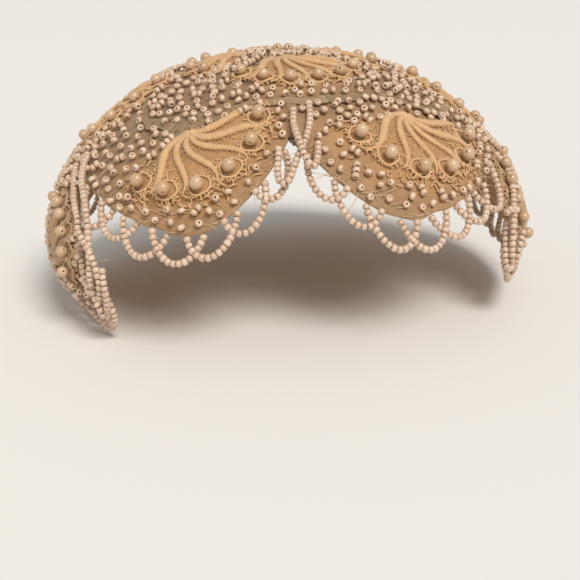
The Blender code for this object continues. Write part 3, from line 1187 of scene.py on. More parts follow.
@dataclass(frozen=True)
class Fan:
    """One lace fan, with the numbers of its row in the part's source, and what lies in it."""

    name: str
    side: int
    ring: float
    polar: float
    heading: float
    spread: float
    reach: float
    pearls: int
    loose: bool
    size: float
    full_reach: float = 25 * MM
    pearl_diameter: float = 5.0 * MM
    ring_room: float = 1.3 * MM
    hub_room: float = 2.2 * MM

    @property
    def length(self) -> float:
        """The distance from the apex to the pearls."""
        return self.full_reach * self.reach

    @property
    def floor(self) -> float:
        """The height of the cloth that the fan is sewn on."""
        return LAYERS.crown_top if self.name.startswith("crown") else LAYERS.petal_top

    @property
    def pearl_radius(self) -> float:
        """Half a pearl's diameter."""
        return self.pearl_diameter * self.size / 2

    def flat(self, angle: Array, reach: Array) -> tuple[Array, Array]:
        """Distances along the ring and down the dome, from an angle off the heading and a reach."""
        turned = np.radians(self.heading + angle)
        return self.side * np.sin(turned) * reach, np.cos(turned) * reach

    def lay(self, angle: Array, reach: Array, height: Array) -> Array:
        """Points laid on the dome at an angle off the heading and a reach from the apex."""
        across, down = self.flat(angle, reach)
        return DOME.lay(self.side * self.ring, self.polar, across, down, height)

    def pearl_angles(self) -> Array:
        """The pearls' angles off the heading, evenly over the spread."""
        return np.linspace(-self.spread, self.spread, self.pearls)

    def polar_form(self, ring: Array, polar: Array) -> tuple[Array, Array]:
        """The angle off the heading and the reach of places on the dome.

        Args:
            ring: Ring angles.
            polar: Angles from the top.

        Returns:
            Angles and distances.
        """
        along, down, _ = DOME.directions(self.side * self.ring, self.polar)
        offset = DOME.point(ring, polar, 0) - DOME.point(self.side * self.ring, self.polar, 0)
        across, fall = offset @ along * self.side, offset @ down
        angle = np.degrees(np.arctan2(across, fall)) - self.heading
        return (angle + 180) % 360 - 180, np.linalg.norm(offset, axis=-1)

    def covers(self, ring: Array, polar: Array, margin: float) -> Array:
        """Whether places lie on the fan's cords, pearls or rings, or within a margin of them.

        Args:
            ring: Ring angles.
            polar: Angles from the top.
            margin: The room wanted round the fan.

        Returns:
            True where they do.
        """
        angle, reach = self.polar_form(ring, polar)
        spare = np.degrees(margin / np.maximum(reach, 3 * MM))
        half = self.spread + 0.5 * self.spread / (self.pearls - 1)
        end = self.length + self.pearl_radius + self.ring_room + margin
        inside = (np.abs(angle) < half + spare) & (reach < end)
        return inside | (reach < self.hub_room + margin)


FANS = [
    Fan("crown_lace_front", 1, 8, 8, 0, 60, 1.00, 6, False, 0.88),
    Fan("crown_lace_left", -1, 92, 9, 0, 42, 0.92, 4, False, 0.88),
    Fan("crown_lace_right", 1, 110, 9, 0, 42, 0.92, 4, False, 0.88),
    Fan("crown_lace_back", 1, 188, 8, 0, 42, 0.92, 4, False, 0.88),
    Fan("front_lace_left", -1, 34, 45, -46, 70, 0.99, 6, True, 1.00),
    Fan("front_lace_right", 1, 40, 42.5, -14, 70, 1.02, 6, True, 1.00),
    Fan("side_upper_lace_left", -1, 97, 42, -80, 58, 0.90, 5, False, 0.88),
    Fan("side_upper_lace_right", 1, 98, 42, -80, 58, 0.90, 5, False, 0.88),
    Fan("side_lower_lace_left", -1, 72.5, 85.5, -135, 53, 0.80, 6, True, 0.88),
    Fan("side_lower_lace_right", 1, 74.5, 75.5, -112, 53, 0.80, 6, True, 0.88),
    Fan("back_lace_left", -1, 146, 41, 22, 60, 0.92, 4, False, 0.88),
    Fan("back_lace_right", 1, 146, 41, 22, 60, 0.92, 4, False, 0.88),
]


@dataclass(frozen=True)
class FanLace:
    """The lace of one fan: puffed ground, swaying satin cords, rings round the pearls, and net."""

    fan: Fan
    cord_width: float = 1.38 * MM
    cord_height: float = 1.05 * MM
    stitches: int = 31
    stitch_points: int = 5
    stitch_relief: float = 0.21
    stitch_slant: float = 0.8
    sway: float = 44
    rim: float = 3.2 * MM
    ring_gap: float = 1.4 * MM
    ring_thread: float = 0.46 * MM
    ring_height: float = 0.35 * MM
    picots: int = 17
    picot_length: tuple[float, float] = (0.7, 2.4)
    picot_thread: float = 0.34 * MM
    branch_length: tuple[float, float] = (0.5, 1.5)
    branch_thread: float = 0.27 * MM
    twigs: int = 190
    twig_length: tuple[float, float] = (1.4, 4.0)
    twig_thread: float = 0.36 * MM
    fuzz_thread: float = 0.17 * MM
    sewn_height: float = 0.2 * MM
    puff: float = 1.15 * MM
    cord_base: float = 0.3 * MM
    cord_arch: float = 0.25 * MM
    hub_height: float = 0.9 * MM
    dip: float = 0.12 * MM
    tuck: float = 0.55 * MM
    root_depth: float = 0.7 * MM

    def lift(self, angle: Array, reach: Array) -> Array:
        """How high the puffed ground stands over the cloth under the fan.

        It rises from the apex, is level over the cords and pearls, and falls at the far rim and at both
        sides by smooth steps.

        Args:
            angle: Angles off the heading.
            reach: Distances from the apex.

        Returns:
            Heights over the cloth.
        """
        fan = self.fan
        way = reach / fan.length
        far = 1 + (fan.pearl_radius + self.rim) / fan.length
        radial = smooth(0, 0.3, way) * (1 - smooth(1 + fan.pearl_radius / fan.length, far, way))
        half = fan.spread * (1 + 1 / (fan.pearls - 1))
        sides = 1 - smooth(0.82, 1.06, np.abs(angle) / half)
        return self.sewn_height + self.puff * radial * sides

    def laid(self, across: Array, down: Array, above: Array) -> Array:
        """Points laid at flat coordinates round the apex, at heights over the puffed ground.

        Args:
            across: Distances along the ring.
            down: Distances down the dome.
            above: Heights over the ground.

        Returns:
            The points.
        """
        fan = self.fan
        angle = np.degrees(np.arctan2(across * fan.side, down)) - fan.heading
        angle = (angle + 180) % 360 - 180
        height = fan.floor + self.lift(angle, np.hypot(across, down)) + above
        return DOME.lay(fan.side * fan.ring, fan.polar, across, down, height)

    def outwards(self, points: Array) -> Array:
        """The directions out of the dome at points."""
        return DOME.directions(*DOME.place(points))[2]

    def cord_paths(self) -> tuple[Array, Array, Array]:
        """The middle lines of the satin cords.

        One ends between each two pearls and one outside the last. Each sets off turned to one side by
        the sway, which dies away as the cosine of three quarters of half a turn, times the share of
        the way left, so that the cords run out in an S.

        Returns:
            Points on the cords, cords by points by 3, the shares of the way, and each cord's boldness.
        """
        fan = self.fan
        swirl = -fan.side
        step = 2 * fan.spread / (fan.pearls - 1)
        ends = np.append(-fan.spread + step * (np.arange(fan.pearls - 1) + 0.5),
                         -swirl * (fan.spread + 0.45 * step))
        t = np.linspace(0, 1, self.stitches * self.stitch_points)
        random = np.random.default_rng(SEED + 3)
        sway = self.sway * random.uniform(0.85, 1.1, len(ends))[:, None]
        angle = ends[:, None] + swirl * sway * (1 - t) * np.cos(0.75 * np.pi * t)
        hub, far = 0.02 * fan.length, fan.length * random.uniform(1.02, 1.12, len(ends))[:, None]
        across, down = fan.flat(angle, hub + t * (far - hub))
        above = self.cord_base + self.cord_arch * np.sin(np.pi * t)
        above = np.broadcast_to(above + self.hub_height * (1 - smooth(0, 0.12, t)), across.shape)
        bold = np.where(np.abs(ends) > fan.spread * 0.75, 1.2, 0.92)[:, None]
        return self.laid(across, down, above), t, bold

    def cords(self) -> Patch:
        """The satin cords, with a ridge for each stitch.

        They are widest in the middle of the way. The section grows and shrinks with the sine of the
        stitches run through, which lags on one side so that the ridges slant.

        Returns:
            The cords as one patch, with a mark for the painted shade, at 1 between the stitches.
        """
        sides = 8
        paths, t, bold = self.cord_paths()
        thick = (0.60 + 0.40 * np.sin(np.pi * np.clip(t * 1.1, 0, 1)) ** 0.7) * (1 - 0.5 * smooth(0.78, 1, t))
        lag = self.stitch_slant * np.cos(np.arange(sides) * TURN / sides)
        phase = np.pi * self.stitches * t[:, None] + lag
        random = np.random.default_rng(SEED + 31)
        phase = phase + random.uniform(0, np.pi, (len(paths), 1, 1)) + 0.8 * np.sin(11 * t[:, None])
        ridge = np.abs(np.sin(phase)) ** 0.7
        rough = random.uniform(0.45, 1.25, (len(paths), len(t), 1)) * self.stitch_relief
        lumps = 0.07 * ripple(9 * t, np.arange(len(paths))[:, None], 17)[:, :, None]
        size = bold[:, :, None] * thick[:, None] * (1 + rough * (ridge - 0.75) + lumps)
        # How much painted shade each point takes: most between the stitches, by a random share.
        groove = (1 - ridge) ** 1.3 * random.uniform(0.3, 1, (len(paths), len(t), 1))
        patch = tubes(paths, self.outwards(paths), self.cord_width * size, self.cord_height * size, sides)
        return patch.marked("groove", np.append(groove.reshape(-1), np.zeros(2 * len(paths))))

    def fuzz_threads(self) -> Patch:
        """Short fibres that stand off both sides of the cords, one to a stitch or so.

        Returns:
            The fibres as one patch.
        """
        paths, _, bold = self.cord_paths()
        random = np.random.default_rng(SEED + 9)
        at = np.arange(6, paths.shape[1] - 4, self.stitch_points)
        base = np.repeat(paths[:, at], 2, axis=1).reshape(-1, 3)
        tangent = np.repeat(unit(paths[:, at + 3] - paths[:, at - 3]), 2, axis=1).reshape(-1, 3)
        wide = np.repeat(np.broadcast_to(bold, (len(paths), len(at))), 2, axis=1).reshape(-1, 1, 1)
        out = self.outwards(base)
        side = np.cross(tangent, out) * np.tile([[1.0], [-1.0]], (len(base) // 2, 1))
        lean = random.uniform(-0.5, 0.9, (len(base), 1))
        way = unit(side + lean * tangent + random.uniform(-0.25, 0.15, (len(base), 1)) * out)
        share = np.array([0.0, 1.0])[None, :, None]
        reach = self.cord_width * wide * (0.75 + (0.3 + random.uniform(0.1, 0.9, (len(base), 1, 1))) * share)
        spikes = base[:, None] + way[:, None] * reach
        thin = np.broadcast_to(self.fuzz_thread, spikes.shape[:2])
        return tubes(spikes, np.broadcast_to(out[:, None], spikes.shape), thin, 0.6 * thin, sides=3)

    def rings(self) -> list[Patch]:
        """Thin rings round the pearls, with picots that point outwards and branch.

        A ring is a circle whose radius wavers by a few per cent. A picot starts on it and runs out by
        a random length, and two shorter threads leave it on either side.

        Returns:
            The rings, the picots and their branches.
        """
        fan = self.fan
        random = np.random.default_rng(SEED + fan.pearls)
        across, down = fan.flat(fan.pearl_angles(), np.full(fan.pearls, fan.length))
        radius = fan.pearl_radius + self.ring_gap
        turn = np.arange(48) * TURN / 48
        waver = (1 + 0.05 * np.sin(3 * turn + random.uniform(0, TURN, (fan.pearls, 1)))
                 + 0.03 * np.sin(5 * turn + random.uniform(0, TURN, (fan.pearls, 1))))
        paths = self.laid(across[:, None] + radius * waver * np.cos(turn),
                          down[:, None] + radius * waver * np.sin(turn),
                          np.full(waver.shape, self.ring_height))
        thread = self.ring_thread * (1 + 0.28 * np.sin(19 * turn)) + np.zeros(waver.shape)
        circles = tubes(paths, self.outwards(paths), thread, thread, sides=6, closed=True)
        count = fan.pearls * self.picots
        angle = (np.arange(count) + random.uniform(-0.3, 0.3, count)) * TURN / self.picots
        lean = angle + random.uniform(-0.5, 0.5, count)
        length = random.uniform(*self.picot_length, count) * MM
        t = np.linspace(0, 1, 4)
        centre_x, centre_y = np.repeat(across, self.picots), np.repeat(down, self.picots)
        x = centre_x[:, None] + radius * np.cos(angle)[:, None] + t * (length * np.cos(lean))[:, None]
        y = centre_y[:, None] + radius * np.sin(angle)[:, None] + t * (length * np.sin(lean))[:, None]
        spikes = self.laid(x, y, np.broadcast_to(0.3 * MM, x.shape))
        thin = np.broadcast_to(self.picot_thread * (1 - 0.3 * t), x.shape)
        picots = tubes(spikes, self.outwards(spikes), thin, thin, sides=4)
        at = random.uniform(0.5, 1.0, (2, count))
        turned = lean + random.uniform(0.7, 1.3, (2, count)) * np.array([[1], [-1]])
        reach = random.uniform(*self.branch_length, (2, count)) * MM
        x = ((x[:, 0] + at * (x[:, -1] - x[:, 0]))[..., None] + t * (reach * np.cos(turned))[..., None])
        y = ((y[:, 0] + at * (y[:, -1] - y[:, 0]))[..., None] + t * (reach * np.sin(turned))[..., None])
        x, y = x.reshape(-1, len(t)), y.reshape(-1, len(t))
        twigs = self.laid(x, y, np.broadcast_to(0.28 * MM, x.shape))
        thin = np.broadcast_to(self.branch_thread * (1 - 0.3 * t), x.shape)
        return [circles, picots, tubes(twigs, self.outwards(twigs), thin, thin, sides=3)]

    def net(self) -> Patch:
        """Short bent twigs of thread in the outer part of the fan, off the pearls.

        Each is an arc: it sets off at a random angle and turns evenly along its length.

        Returns:
            The twigs as one patch.
        """
        fan = self.fan
        random = np.random.default_rng(SEED + 2 * fan.pearls)
        count = self.twigs * fan.pearls // 6
        angle = random.uniform(-fan.spread - 18, fan.spread + 18, count)
        reach = fan.length * np.sqrt(random.uniform(0.66 ** 2, 1.36 ** 2, count))
        x, y = fan.flat(angle, reach)
        pearl_x, pearl_y = fan.flat(fan.pearl_angles(), np.full(fan.pearls, fan.length))
        near = np.hypot(x[:, None] - pearl_x, y[:, None] - pearl_y).min(axis=1)
        keep = near > fan.pearl_radius + 0.9 * MM
        x, y = x[keep, None], y[keep, None]
        count = len(x)
        t = np.linspace(0, 1, 5)
        heading = random.uniform(0, TURN, (count, 1)) + random.uniform(-2.6, 2.6, (count, 1)) * t
        length = random.uniform(*self.twig_length, (count, 1)) * MM
        x = x + np.cumsum(np.cos(heading), axis=1) * length / len(t)
        y = y + np.cumsum(np.sin(heading), axis=1) * length / len(t)
        paths = self.laid(x, y, np.broadcast_to((0.1 + 0.3 * np.sin(np.pi * t)) * MM, x.shape))
        thin = np.broadcast_to(self.twig_thread * (1 - 0.3 * t), x.shape)
        return tubes(paths, self.outwards(paths), thin, thin, sides=4)

    def ground(self) -> Patch:
        """The silk under the cords, puffed up, with its border tucked into the cloth.

        Its height over the cloth is the lift, less a shallow ripple that dips under each cord.

        Returns:
            The closed patch.
        """
        fan = self.fan
        across, along = np.meshgrid(np.linspace(-1, 1, 44), np.linspace(0, 1, 18), indexing="ij")
        half = fan.spread * (1 + 1 / (fan.pearls - 1)) * 1.05
        border = np.maximum(smooth(0.86, 1, np.abs(across)), smooth(0.86, 1, along))
        start, end = 0.05 * fan.length, fan.length + fan.pearl_radius + self.rim
        scallop = 1 - 0.04 * (1 + np.cos(TURN * fan.pearls * (across + 1) / 2)) / 2
        angle, reach = half * across, start + along * (end * scallop - start)
        dip = self.dip * np.cos(TURN * (fan.pearls - 1) * (across + 1) / 2) * np.sin(np.pi * along)
        outer = fan.lay(angle, reach, fan.floor + (self.lift(angle, reach) + dip) * (1 - border)
                        - self.tuck * border)
        inner = fan.lay(angle, reach, np.full(angle.shape, fan.floor - self.root_depth))
        patch = shell(outer, inner, np.stack([np.radians(angle) * 0.5 * fan.length, reach], axis=-1))
        # The lower side fans' grounds take less of the warm colour, as painted shade.
        patch = patch.marked("warm", 0.45 if fan.name.startswith("side_lower") else 0.95)
        if fan.side < 0:
            patch = replace(patch, faces=[faces[:, ::-1] for faces in patch.faces])
        return patch

    def build(self, finishes: Finishes) -> list[Object]:
        """Make the ground and the lace, which stand for the fan's node together.

        Args:
            finishes: The materials.

        Returns:
            The ground and the lace.
        """
        name = self.fan.name
        ground = make_piece(name + "_ground", self.ground(), [finishes.silk], [name])
        lace = joined([self.cords(), self.fuzz_threads(), *self.rings(), self.net()])
        # The lower side fans' cords take painted shade.
        lace = lace.marked("dusk", 0.6 if name.startswith("side_lower") else 0.0)
        return [ground, make_piece(name + "_cords", lace, [finishes.cord], [name])]


# Pearls and beads


def pearl_shape(radius: float, hole: float, sides: int = 18, steps: int = 11) -> Patch:
    """A drilled pearl: an arc of a circle from rim to rim of its hole, and back through the hole.

    Args:
        radius: Half the pearl's diameter.
        hole: Half the hole's.
        sides: Steps round the hole.
        steps: Points from rim to rim.

    Returns:
        The pearl, its hole along Z.
    """
    rim = np.arcsin(hole / radius)
    turn = np.linspace(rim, np.pi - rim, steps)
    outside = np.stack([radius * np.sin(turn), radius * np.cos(turn)], axis=-1)
    through = 0.55 * np.array([[hole, -radius], [hole, radius]])
    bore = np.concatenate([np.zeros(steps), np.ones(2)])
    return revolved(np.concatenate([outside, through])[::-1], sides, bore[::-1])


def bead_shape(radius: float, hole: float, length: float, sides: int = 9) -> Patch:
    """A seed bead turned round its hole: rounded outside, dished at its ends, straight inside.

    Args:
        radius: Half the bead's diameter.
        hole: Half the hole's.
        length: Its length along the hole.
        sides: Steps round the hole.

    Returns:
        The bead, its hole along Z.
    """
    half = length / 2
    lip = 1.25 * hole
    outside = [[lip, 0.84], [0.62 * radius, 1.0], [0.94 * radius, 0.58], [radius, 0.0]]
    profile = np.array([[hole, -0.66], *([r, -z] for r, z in outside), *(outside[:3][::-1]), [hole, 0.66]])
    profile[:, 1] *= half
    bore = np.zeros(len(profile))
    bore[[0, -1]] = 1
    return revolved(profile, sides, bore)


def node_middles(nodes: Sequence[str]) -> Array:
    """The middles of CAD nodes' boxes."""
    return np.array([[(low + high) / 2 for low, high in zip(*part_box(node))] for node in nodes])


@dataclass(frozen=True)
class Pearls:
    """The pearls of one fan, each sewn on with its hole lying in the cloth or turned a little out."""

    fan: Fan
    hole: float = 0.42 * MM
    sink: float = 0.7 * MM

    def build(self, finishes: Finishes) -> Object:
        """Make the pearls: loose ones at their nodes' middles, fused ones at the height they sit at.

        Args:
            finishes: The materials.

        Returns:
            The pearls as one piece.
        """
        fan = self.fan
        nodes = [f"{fan.name}_pearl_{number}" for number in range(1, fan.pearls + 1)] if fan.loose else []
        if fan.loose:
            centres = node_middles(nodes)
        else:
            height = fan.floor + LAYERS.gap + LAYERS.lace_wall - self.sink + fan.pearl_radius
            centres = fan.lay(fan.pearl_angles(), np.full(fan.pearls, fan.length),
                              np.full(fan.pearls, height))
        along, down, out = DOME.directions(*DOME.place(centres))
        random = np.random.default_rng(SEED + int(abs(fan.ring)) + fan.side)
        turn = random.uniform(0, TURN, (fan.pearls, 1))
        tilt = random.uniform(0.0, 0.35 if fan.loose else 1.2, (fan.pearls, 1))
        axes = np.cos(tilt) * (np.cos(turn) * along + np.sin(turn) * down) + np.sin(tilt) * out
        patch = stamped(pearl_shape(fan.pearl_radius, self.hole), centres, axes,
                        random.uniform(0, 1, fan.pearls))
        return make_piece(fan.name + "_pearls", patch, [finishes.pearl], nodes or [fan.name])


@dataclass(frozen=True)
class TopPearls:
    """The two pearls on top of the crown, their holes turned to the front."""

    diameter: float = 4.0 * MM
    hole: float = 0.42 * MM
    nodes: tuple[str, str] = ("top_pearl_left", "top_pearl_right")
    axes: tuple[Colour, ...] = ((-0.15, -0.9, 0.35), (0.1, -0.9, 0.4))
    tints: tuple[float, float] = (0.2, 0.6)

    def build(self, finishes: Finishes) -> Object:
        """Make both at their nodes' middles.

        Args:
            finishes: The materials.

        Returns:
            Both as one piece.
        """
        patch = stamped(pearl_shape(self.diameter / 2, self.hole), node_middles(self.nodes),
                        np.array(self.axes), np.array(self.tints))
        return make_piece("top_pearls", patch, [finishes.pearl], self.nodes)


def sampled(at: Array, lengths: Array, points: Array) -> Array:
    """Points read off a line at some lengths along it."""
    return np.stack([np.interp(at, lengths, points[:, axis]) for axis in range(3)], axis=-1)


@dataclass(frozen=True)
class StringBead:
    """The bead that the strings are made of, and its thread."""

    radius: float = 1.40 * MM
    length: float = 2.15 * MM
    hole: float = 0.34 * MM
    thread: float = 0.2 * MM

    def strung(self, name: str, routes: list[Array], node: str, finishes: Finishes) -> list[Object]:
        """Beads threaded along routes.

        Args:
            name: What both pieces' names start with.
            routes: The points of each string, all of one number.
            node: The CAD node that the pieces stand for.
            finishes: The materials.

        Returns:
            The beads, as many as fit along each string, and the threads that they hang from.
        """
        places, axes = [], []
        for route in routes:
            steps = np.linalg.norm(np.diff(route, axis=0), axis=1)
            lengths = np.concatenate([[0], np.cumsum(steps)])
            count = max(1, int(lengths[-1] // self.length))
            at = (np.arange(count) + 0.5) * lengths[-1] / count
            places.append(sampled(at, lengths, route))
            axes.append(sampled(at, lengths, np.gradient(route, axis=0)))
        places, axes = np.concatenate(places), np.concatenate(axes)
        random = np.random.default_rng(SEED + len(places))
        axes = unit(axes) + random.normal(0, 0.10, axes.shape)
        beads = stamped(bead_shape(self.radius, self.hole, self.length), places, axes,
                        random.uniform(0, 1, len(places)), random.uniform(0.90, 1.04, len(places)))
        paths = np.stack(routes)[:, ::2]
        thin = np.full(paths.shape[:2], self.thread)
        strings = tubes(paths, np.broadcast_to([0.0, 0.3, 1.0], paths.shape), thin, thin, sides=5)
        return [make_piece(name + "_beads", beads, [finishes.string], [node]),
                make_piece(name + "_thread", strings, [finishes.thread], [node])]


@dataclass(frozen=True)
class Fringe:
    """The strings of beads along one petal's edge: loops whose ends cross under each attachment."""

    petal: Petal
    bead: StringBead = StringBead()
    full_drop: float = 12.5 * MM
    roundness: float = 1.35
    cross: float = 2.6 * MM
    clear: float = 0.2 * MM
    proud: float = 2.0 * MM
    depth: float = 1.35 * MM
    samples: int = 400
    points: int = 90

    def edge_line(self) -> tuple[Array, Array, Array]:
        """The petal's edge: shares of the width, points at mid wall, and lengths along it.

        Returns:
            The shares, the points and the lengths.
        """
        share = np.linspace(0, 1, self.samples)
        line = self.petal.point(share, self.petal.edge(share), LAYERS.petal_top - LAYERS.petal_wall / 2)
        steps = np.linalg.norm(np.diff(line, axis=0), axis=1)
        return share, line, np.concatenate([[0], np.cumsum(steps)])

    def hanging(self, along: Array) -> tuple[Array, Array, Array, Array, Array]:
        """Where strings start from the edge and how they hang.

        Args:
            along: Lengths along the edge.

        Returns:
            Points on the edge, directions off the edge, directions that the strings hang in,
            directions out of the cloth, and how level the edge is, from 0 to 1.
        """
        share_line, line, lengths = self.edge_line()
        tangent = unit(np.gradient(line, axis=0))
        share = np.interp(along, lengths, share_line)
        place, ahead = sampled(along, lengths, line), unit(sampled(along, lengths, tangent))
        polar = self.petal.edge(share)
        _, down, out = DOME.directions(self.petal.ring(share, polar), polar)
        hand = self.petal.side * np.sign(self.petal.end - self.petal.start)
        off_edge = hand * unit(np.cross(ahead, out))
        level = np.maximum(0, (off_edge * down).sum(axis=-1, keepdims=True))
        return place, off_edge, unit(level * down + (1 - level) * off_edge), out, level

    def loops(self) -> list[Array]:
        """The strings' routes, one for each swag.

        A loop runs from one attachment to the next, past both by the crossing, as the cosine of half a
        turn, and drops as a power of the sine. Where the edge is level it hangs off the edge. Where the
        edge is steep it hangs down beside it, over the cloth's face. One end lies over its neighbour
        and the other under it.

        Returns:
            The points of each loop.
        """
        petal = self.petal
        total = self.edge_line()[2][-1]
        stations = np.linspace(petal.swag_start, petal.swag_end, petal.swags + 1) * total
        t = np.linspace(0, 1, self.points)[:, None]
        random = np.random.default_rng(SEED + petal.swags + int(petal.start))
        down = np.array([0.0, 0.0, -1.0])
        routes = []
        for first, last in zip(stations[:-1], stations[1:]):
            ends = np.clip([first - self.cross, last + self.cross], 0, total)
            along = ends[0] + (ends[1] - ends[0]) * (1 - np.cos(np.pi * t[:, 0])) / 2
            place, off_edge, hang, out, level = self.hanging(along)
            steep = 1 - level.mean()
            way = unit((1 - steep) * hang + steep * (down + 0.35 * off_edge))
            drop = self.full_drop * petal.swag_drop * random.uniform(0.88, 1.12)
            drop *= 1 - steep * random.uniform(0.1, 0.4)
            weave = self.depth * (2 * t - 1) * smooth(0.1, 0.8, np.abs(1 - 2 * t))
            sag = drop * np.sin(np.pi * t) ** self.roundness
            routes.append(place + self.clear * off_edge + sag * way
                          + (weave + steep * self.proud * (1 + 0.5 * np.sin(np.pi * t))) * out)
        return routes

    def build(self, finishes: Finishes) -> list[Object]:
        """Make the fringe."""
        return self.bead.strung(self.petal.name.replace("petal", "fringe"), self.loops(),
                                self.petal.name.replace("petal", "fringe"), finishes)


@dataclass(frozen=True)
class Strands:
    """Strings that hang apart from a fringe's loops, sewn on with it.

    Each is a row of places, which are a ring angle, an angle from the top, and a height in millimetres.
    """

    name: str
    node: str
    routes: tuple[tuple[Colour, ...], ...]
    bead: StringBead = StringBead()
    points: int = 90

    def route(self, places: tuple[Colour, ...]) -> Array:
        """A smooth run through places.

        Between each two it is a cubic whose ends run along the line between the neighbours
        (a Catmull-Rom spline).

        Args:
            places: The places.

        Returns:
            The points of the run.
        """
        knots = np.array(places)
        padded = np.concatenate([2 * knots[:1] - knots[1:2], knots, 2 * knots[-1:] - knots[-2:-1]])
        at = np.linspace(0, len(knots) - 1 - 1e-9, self.points)
        first = at.astype(int)
        t = (at - first)[:, None]
        a, b, c, d = (padded[first + step] for step in range(4))
        spots = 0.5 * (2 * b + (c - a) * t + (2 * a - 5 * b + 4 * c - d) * t ** 2
                       + (3 * b - a - 3 * c + d) * t ** 3)
        return DOME.point(spots[:, 0], spots[:, 1], spots[:, 2] * MM)

    def lines(self) -> list[Array]:
        """Every run."""
        return [self.route(places) for places in self.routes]

    def build(self, finishes: Finishes) -> list[Object]:
        """Make the strings."""
        return self.bead.strung(self.name, self.lines(), self.node, finishes)


STRANDS = [
    Strands("notch_strands", "front_fringe_left", (
        ((5.2, 35, 4.9), (4.2, 41, 5.2), (1.8, 47, 5.6), (-1.2, 52.5, 6.0), (-3.2, 57.5, 6.2),
         (-5.2, 58, 5.6), (-6.0, 54.5, 5.0), (-5.6, 50, 4.9)),
        ((-0.8, 37, 4.9), (-1.2, 42, 5.6), (-0.2, 48, 7.4), (1.4, 53.5, 8.0), (3.0, 54.5, 7.0),
         (4.4, 51.5, 5.6), (5.4, 47.5, 4.9)),
    )),
    Strands("side_strands_left", "side_fringe_left", (
        ((-75, 61, 4.8), (-68, 65, 5.0), (-62, 69.5, 5.4), (-57.5, 73, 5.8), (-56.5, 77, 5.4)),
        ((-72, 57, 4.8), (-62, 63.5, 6.5), (-56.5, 67.5, 6.8), (-52.5, 72.5, 6.8), (-50.5, 78, 6.5),
         (-49.5, 83.5, 6.5), (-50, 89, 6.0)),
        ((-54, 75, 8.2), (-50, 79, 7.0), (-47.5, 84, 6.0), (-47, 89, 6.0), (-49, 94, 6.0), (-51, 98.5, 5.6)),
        ((-46.5, 83, 5.0), (-45.5, 87, 5.8), (-45.5, 91.5, 6.0), (-47.5, 96.5, 6.0), (-50.5, 99.5, 4.4)),
    )),
    Strands("side_strands_right", "side_fringe_right", (
        ((70, 61, 4.8), (66.5, 65.5, 6.4), (62.5, 69.5, 7.0), (58.5, 73.5, 7.0), (55.5, 78, 6.8),
         (54, 82.5, 6.4), (54, 87, 6.0), (57, 91.5, 4.4)),
        ((75, 57, 4.8), (72, 61, 6.4), (68.5, 65, 7.4), (65.5, 68.5, 7.6), (63.5, 71, 7.4)),
        ((57.5, 75, 8.4), (54.5, 74, 7.8), (52.5, 74.5, 6.8)),
        ((58, 80.5, 8.6), (56, 84, 7.8), (55.5, 88, 7.0), (58.5, 92, 5.6), (62.5, 93.5, 4.4)),
    )),
]


